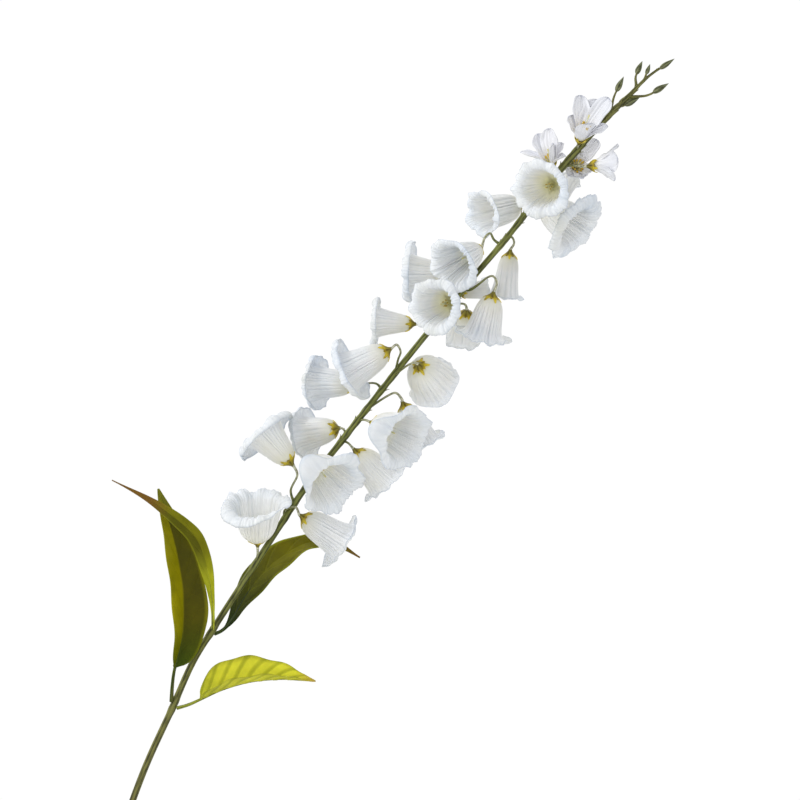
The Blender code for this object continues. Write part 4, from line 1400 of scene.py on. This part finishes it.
@dataclass
class Leaf:
    """A lanceolate leaf: a folded blade with waved margins and sunken side veins, on a short stalk.

    Attributes:
        number: Its number in the part.
        route: Its midrib.
        stalk: Share of the length that is stalk.
        half_width: Greatest half-width.
        fullness: 1 is widest half way along, less is widest nearer to the stalk.
        face_at_base, face_at_tip: Where the upper side looks.
        fold_at_base, fold_at_tip: How far each half lifts, in degrees.
        pucker: How deep the side veins pull the blade in.
        taper: How fast the blade narrows towards both ends.
        finish: Its finish.
        right_share: Width of the half towards u = 1 against the other.
        rows, columns: Rows and columns of the blade.
        wave: Height of the waves at the margins.
    """

    number: int
    route: tuple[Point, ...]
    stalk: float
    half_width: float
    fullness: float
    face_at_base: Point
    face_at_tip: Point
    fold_at_base: float
    fold_at_tip: float
    pucker: float
    taper: float
    finish: LeafBlade
    right_share: float = 1.0
    rows: int = 110
    columns: int = 29
    wave: float = 0.9

    def blade(self) -> tuple[Surface, Surface]:
        """The blade and its midrib.

        With t the share of the way along and u from -1 to 1 across, the half-width is the stalk's plus the
        blade's sin(pi s^fullness)^taper (1 - s/4), s being the share beyond the stalk. Each half lifts by its
        fold, the margin waves by sin(9 pi t + 2u) u^2, and the blade dips by cos^8 of the slanted vein
        pattern.

        Returns:
            The blade, and the rib as a tapered tube under it.
        """
        spine = smooth_route(self.route, self.rows)
        t = np.linspace(0, 1, self.rows)[:, None]
        u = np.linspace(-1, 1, self.columns)[None]
        along = unit(np.gradient(spine, axis=0))
        face = np.array(self.face_at_base) * (1 - t) + np.array(self.face_at_tip) * t
        right = unit(np.cross(along, face))
        up = unit(np.cross(right, along))
        s = np.clip((t - self.stalk) / (1 - self.stalk), 0, 1)
        past = smoothstep(self.stalk - 0.02, self.stalk + 0.03, t)
        outline = np.sin(np.pi * s ** self.fullness) ** self.taper * (1 - 0.25 * s) + 0.03 * past
        narrower = 1 - (1 - self.right_share) * smoothstep(-0.15, 0.15, u)
        width = 1.5 * (1 - 0.88 * t) + self.half_width * outline * narrower
        fold = np.radians(self.fold_at_base + (self.fold_at_tip - self.fold_at_base) * t)
        lift = fold * np.clip(width / 6, 0, 1)
        rounded = np.sqrt(u ** 2 + 0.004) - math.sqrt(0.004)
        broad = np.clip(width / 10, 0, 1)
        edge = self.wave * u ** 2 * np.sin(9 * t * np.pi + 2 * u) * broad
        off = np.abs(u)
        vein = np.cos(np.pi * self.finish.pairs * (t - 0.16 * off)) ** 8
        dip = -self.pucker * vein * broad * np.sin(np.pi * off ** 0.6) * (1 - 0.4 * off)
        rise = rounded * width * np.sin(lift) + edge + dip
        grid = (spine[:, None] + right[:, None] * (u * width * np.cos(lift))[..., None]
                + up[:, None] * rise[..., None])
        thin = 0.25 + 1.3 * np.linspace(1, 0, self.rows) ** 3
        rib = tube(spine - up * 0.35, thin, 10)
        return Surface.of_grid(grid), rib

    def build(self) -> None:
        """Makes the blade, which stands for the CAD leaf, and its rib."""
        name = f"leaf_{self.number:02d}"
        blade, rib = self.blade()
        blade.piece(f"{name}_blade", self.finish, (name,), wall=0.5)
        colours = self.finish
        skin = GreenTissue(f"{colours.name}_rib", Slot.LEAF, along=(
            (0.0, colours.stalk), (0.3, colours.base), (0.8, colours.vein), (1.0, colours.tip)))
        rib.piece(f"{name}_rib", skin)


# In each leaf one half is coloured as lit and the other as shaded: painted light and painted shade.
DARK_LEAF = LeafBlade(
    "olive_leaf", Slot.LEAF, left="#9d9504", right="#565203", base="#365302", rim="#a09c12", vein_share=0.0,
    base_ends=0.3)
# Its veins and midrib are darker than the blade, in broad bands on the puckered side veins: painted shade in
# those creases.
BRIGHT_LEAF = LeafBlade(
    "yellow_green_leaf", Slot.LEAF, left="#ece83e", right="#d6d434", base="#8e961c", vein="#808a0e",
    tip="#b8a03c", rim="#bcba34", stalk="#98a04a", pairs=10.0, vein_share=0.46, vein_starts=0.0)
BACK_LEAF = LeafBlade(
    "deep_green_leaf", Slot.LEAF, left="#6a6503", right="#74700a", base="#1a3001", vein="#8a8a0c",
    tip="#7a5a22", rim="#a3a724", stalk="#4a5a18", base_ends=0.5, pairs=7.0)
TWISTED_LEAF = LeafBlade(
    "two_tone_leaf", Slot.LEAF, left="#5e5d0a", right="#7a780c", base="#d2d632", vein="#7d800f",
    tip="#75561f", rim="#8c8e16", stalk="#9aa42e", pairs=8.0, base_ends=0.34, tip_starts=0.67)


@dataclass
class Foliage:
    """The leaves of the lower stem.

    Attributes:
        leaves: The leaves.
        joints: Heights at which the stem swells for them.
    """

    leaves: tuple[Leaf, ...] = (
        Leaf(1, ((78, -3, 303), (79, -7, 316), (81, -9, 330), (87, -11, 355), (88, -12, 386), (85, -10, 410),
                 (79, -6, 436), (67, 1, 473)), 0.17, 20, 0.68, (0.7, -0.71, 0.0), (0.42, -0.9, 0.0), 44, 22,
             0.25, 0.9, DARK_LEAF),
        Leaf(2, ((82, -2, 298), (92, -3, 301), (101, -4, 305), (119, -5, 313), (141, -5, 319),
                 (164, -4, 321), (182, -2, 320), (193, 0, 319)), 0.18, 24, 0.72, (-0.1, -0.35, 0.93),
             (-0.1, -0.35, 0.93), 50, 50, 1.3, 0.9, BRIGHT_LEAF, 0.6),
        Leaf(3, ((112, 2, 357), (117, 5, 359), (122, 8, 363), (127, 10, 370), (132, 12, 379), (141, 15, 393),
                 (156, 20, 410), (174, 25, 423), (190, 29, 429), (209, 32, 427), (228, 34, 416)), 0.07, 16.5,
             0.85, (-0.46, -0.71, 0.53), (-0.3, -0.6, 0.7), 10, 10, 0.3, 1.6, BACK_LEAF),
        Leaf(4, ((111, -3.6, 361), (111.5, -11, 378), (110.5, -18, 394), (108.5, -22, 408), (105, -25, 422),
                 (99, -28, 435.5), (89, -31, 446), (74, -34, 458), (58, -36, 468.5), (34, -38, 481)),
             0.08, 6.2, 0.85, (-0.6, -0.8, 0.0), (0.3, -0.9, 0.3), 28, 5, 0.4, 1.7, TWISTED_LEAF),
    )
    joints: tuple[float, ...] = (297.0, 303.0, 357.0, 361.0)

    def build(self) -> None:
        """Makes every leaf."""
        for leaf in self.leaves:
            leaf.build()


# Vase


@dataclass
class Vase:
    """The turned vase and the water in it.

    Attributes:
        height, floor: Height of the lip, and of the floor inside.
        marks: Outer radius at a few heights, joined by smooth steps.
        foot: Radius and height along the foot, from the outside in.
        wall: Thickness of the wall.
        rim: Radius of the rolled lip.
        water_level: Height of the water.
        water_gap: How far the water stays off the glaze.
        ring_pitch, ring_depth: Spacing and depth of the potter's rings outside.
        inner_pitch, inner_depth: The same inside.
        sides: Points round a ring.
    """

    height: float = 196.0
    floor: float = 8.0
    marks: tuple[tuple[float, float], ...] = ((0, 44), (78, 52), (178, 41), (196, 44.5))
    foot: tuple[tuple[float, float], ...] = (
        (43.2, 0.5), (42.2, 0.0), (38.0, 0.0), (36.8, 0.7), (35.4, 1.4), (15.0, 1.4), (0.0, 1.4))
    wall: float = 4.6
    rim: float = 2.2
    water_level: float = 132.0
    water_gap: float = 0.4
    ring_pitch: float = 6.5
    ring_depth: float = 0.14
    inner_pitch: float = 8.0
    inner_depth: float = 0.1
    sides: int = 96

    def outside(self, z: np.ndarray) -> np.ndarray:
        """Outer radius at a height: smooth steps 3x^2 - 2x^3 between the marks.

        Args:
            z: Heights.

        Returns:
            A radius for each.
        """
        z = np.asarray(z, float)
        radius = np.full(z.shape, float(self.marks[0][1]))
        for (low, r_low), (high, r_high) in zip(self.marks, self.marks[1:]):
            radius = radius + (r_high - r_low) * smoothstep(low, high, z)
        return radius

    def turned(self, profile: np.ndarray) -> Surface:
        """A profile turned about Z: at angle a, radius r stands at (r cos a, r sin a).

        Args:
            profile: Radius and height, a pair in each row.

        Returns:
            The surface.
        """
        a = np.linspace(0, TAU, self.sides, endpoint=False)[None]
        r, z = profile[:, :1], profile[:, 1:]
        return Surface.of_grid(np.stack([r * np.cos(a), r * np.sin(a), z + 0 * a], axis=-1), closed=True)

    def clay(self) -> Surface:
        """The vase, from the middle of its floor over the lip to the middle of its foot.

        Outside, rings of ring_depth sin(2 pi z / ring_pitch) stand on outside(), with a slow drift; inside,
        the radius is a wall less, with its own rings; the lip is half a circle.

        Returns:
            The surface.
        """
        top = self.height - self.rim
        z = np.linspace(1.6, top, 110)
        drift = 1.5 * np.sin(z / 31)
        rings = self.ring_depth * np.sin(TAU * z / self.ring_pitch + drift) * smoothstep(4, 16, z)
        outer = np.stack([self.outside(z) + rings, z], axis=1)
        inside = z[z > self.floor + 4]
        inner_rings = self.inner_depth * np.sin(TAU * inside / self.inner_pitch)
        inner = np.stack([self.outside(inside) - self.wall + inner_rings, inside], axis=1)
        turn = np.linspace(0, np.pi, 9)[1:-1]
        lip = self.outside(np.array(self.height)) - self.wall / 2
        rolled = np.stack([lip - self.rim * np.cos(turn), top + self.rim * np.sin(turn)], axis=1)
        corner = inner[0] + np.array([(-3.4, -3.6), (-1.6, -3.0), (-0.5, -1.6)])
        start = np.array([(0, self.floor), (20, self.floor), (34, self.floor + 0.1)])
        return self.turned(np.concatenate([start, corner, inner, rolled, outer[::-1], np.array(self.foot)]))

    def water(self) -> Surface:
        """The water: it follows the wall, and its level surface rises a little where it wets the glaze.

        Returns:
            The surface.
        """
        level, base = self.water_level, self.floor + self.water_gap
        side = np.linspace(self.floor + 5, level - 1.2, 24)
        wet = np.stack([self.outside(side) - self.wall - self.water_gap, side], axis=1)
        edge = self.outside(np.array(level)) - self.wall - self.water_gap
        skin = np.array([(edge, level + 0.8), (edge - 0.8, level + 0.2), (edge - 2.4, level - 0.1),
                         (edge - 8, level - 0.2), (20, level - 0.2), (0, level - 0.2)])
        bottom = np.array([(0, base), (30, base), (wet[0, 0] - 3.5, self.floor + 1.0),
                           (wet[0, 0] - 1.0, self.floor + 2.6)])
        return self.turned(np.concatenate([bottom, wet, skin]))

    def build(self) -> None:
        """Makes the vase and the water."""
        self.clay().piece("vase_body", GLAZE, ("vase",))
        self.water().piece("water_body", WATER, ("water",))


# Studio


@dataclass
class Studio:
    """Floor, light and camera.

    Attributes:
        eye: The camera's place; it looks along +Y.
        seen_width: Width that the picture covers at the depth of the stem.
        sensor: Width of the camera's sensor, in millimetres.
        daylight, backdrop: Strength of the even light from all round, and as the camera sees it.
        floor_reach, floor_hole: Outer radius of the floor's rings, and radius of the disc inside them.
        floor_below: How far the floor lies below the foot.
        lamps: For each lamp its name, place, the point it looks at, size and power.
    """

    eye: Point = (0.2605, -2.2, 0.544)
    seen_width: float = 0.64
    sensor: float = 36.0
    daylight: float = 0.9
    backdrop: float = 1.02
    floor_reach: float = 1400.0
    floor_hole: float = 20.0
    floor_below: float = 0.2
    lamps: tuple[tuple[str, Point, Point, float, float], ...] = (
        ("key", (-1.8, -0.9, 1.7), (0.25, 0.0, 0.5), 0.9, 22.0),
        ("front", (-0.3, -2.5, 1.1), (0.25, 0.0, 0.5), 1.2, 6.0),
        ("rim", (0.9, 1.7, 1.5), (0.25, 0.0, 0.5), 1.0, 8.0),
    )

    def build(self) -> None:
        """Sets up the floor, the world, the lamps and the camera."""
        scene = bpy.context.scene
        a = np.linspace(0, TAU, 96, endpoint=False)[None]
        r = np.linspace(self.floor_hole, self.floor_reach, 8)[:, None]
        rings = np.stack([r * np.cos(a), r * np.sin(a), 0 * r * a - self.floor_below], axis=-1)
        sheet = Surface.of_grid(rings, closed=True)
        floor = bpy.data.objects.new("floor", bpy.data.meshes.new("floor"))
        floor.data.from_pydata((sheet.points * MM).tolist(), [],
                               sheet.faces[:, ::-1].tolist() + [list(range(a.size))])
        floor.data.materials.append(Paper("pale_paper_sweep", Slot.STONEWARE).material())
        scene.collection.objects.link(floor)
        self.light(scene)
        camera = bpy.data.objects.new("camera", bpy.data.cameras.new("camera"))
        camera.location = self.eye
        camera.rotation_euler = (math.radians(90), 0, 0)
        camera.data.sensor_width = self.sensor
        camera.data.lens = self.sensor * -self.eye[1] / self.seen_width
        scene.collection.objects.link(camera)
        scene.camera = camera

    def light(self, scene: bpy.types.Scene) -> None:
        """Even pale daylight behind the picture and round it, and the soft lamps.

        Args:
            scene: The scene that they light.
        """
        world = bpy.data.worlds.new("daylight")
        scene.world = world
        world.use_nodes = True
        tree = world.node_tree
        tree.nodes.clear()
        ray = node(tree, "LightPath")
        strength = node(tree, "MapRange", {"Value": ray.outputs["Is Camera Ray"], "To Min": self.daylight,
                                           "To Max": self.backdrop})
        tint = node(tree, "Mix", {"Factor": ray.outputs["Is Camera Ray"], 6: linear("#f7f7f6"),
                                  7: linear("#ffffff")}, data_type="RGBA")
        sky = node(tree, "Background", {"Color": tint.outputs[2], "Strength": strength.outputs[0]})
        node(tree, "OutputWorld", {"Surface": sky.outputs[0]})
        for name, place, target, size, power in self.lamps:
            lamp = bpy.data.lights.new(name, "AREA")
            lamp.size, lamp.energy = size, power
            holder = bpy.data.objects.new(name, lamp)
            holder.location = place
            holder.rotation_euler = (Vector(target) - Vector(place)).to_track_quat("-Z", "Y").to_euler()
            scene.collection.objects.link(holder)
        scene.view_settings.view_transform = "Standard"


def main() -> None:
    """Builds the studio and every piece, in order."""
    logging.basicConfig(level=logging.INFO, format="%(message)s")
    Studio().build()
    stem, spike, tip, foliage = Stem(), Inflorescence(), BudTip(), Foliage()
    leaves_stem_at = [flower.leaves_stem_at for flower in spike.bells + spike.blooms]
    stem.build([*leaves_stem_at, *(bud[0] for bud in tip.buds), *foliage.joints])
    stem.bracts(leaves_stem_at)
    spike.build(stem)
    tip.build(stem)
    foliage.build()
    Vase().build()
    bpy.context.view_layer.update()


if __name__ == "__main__":
    main()
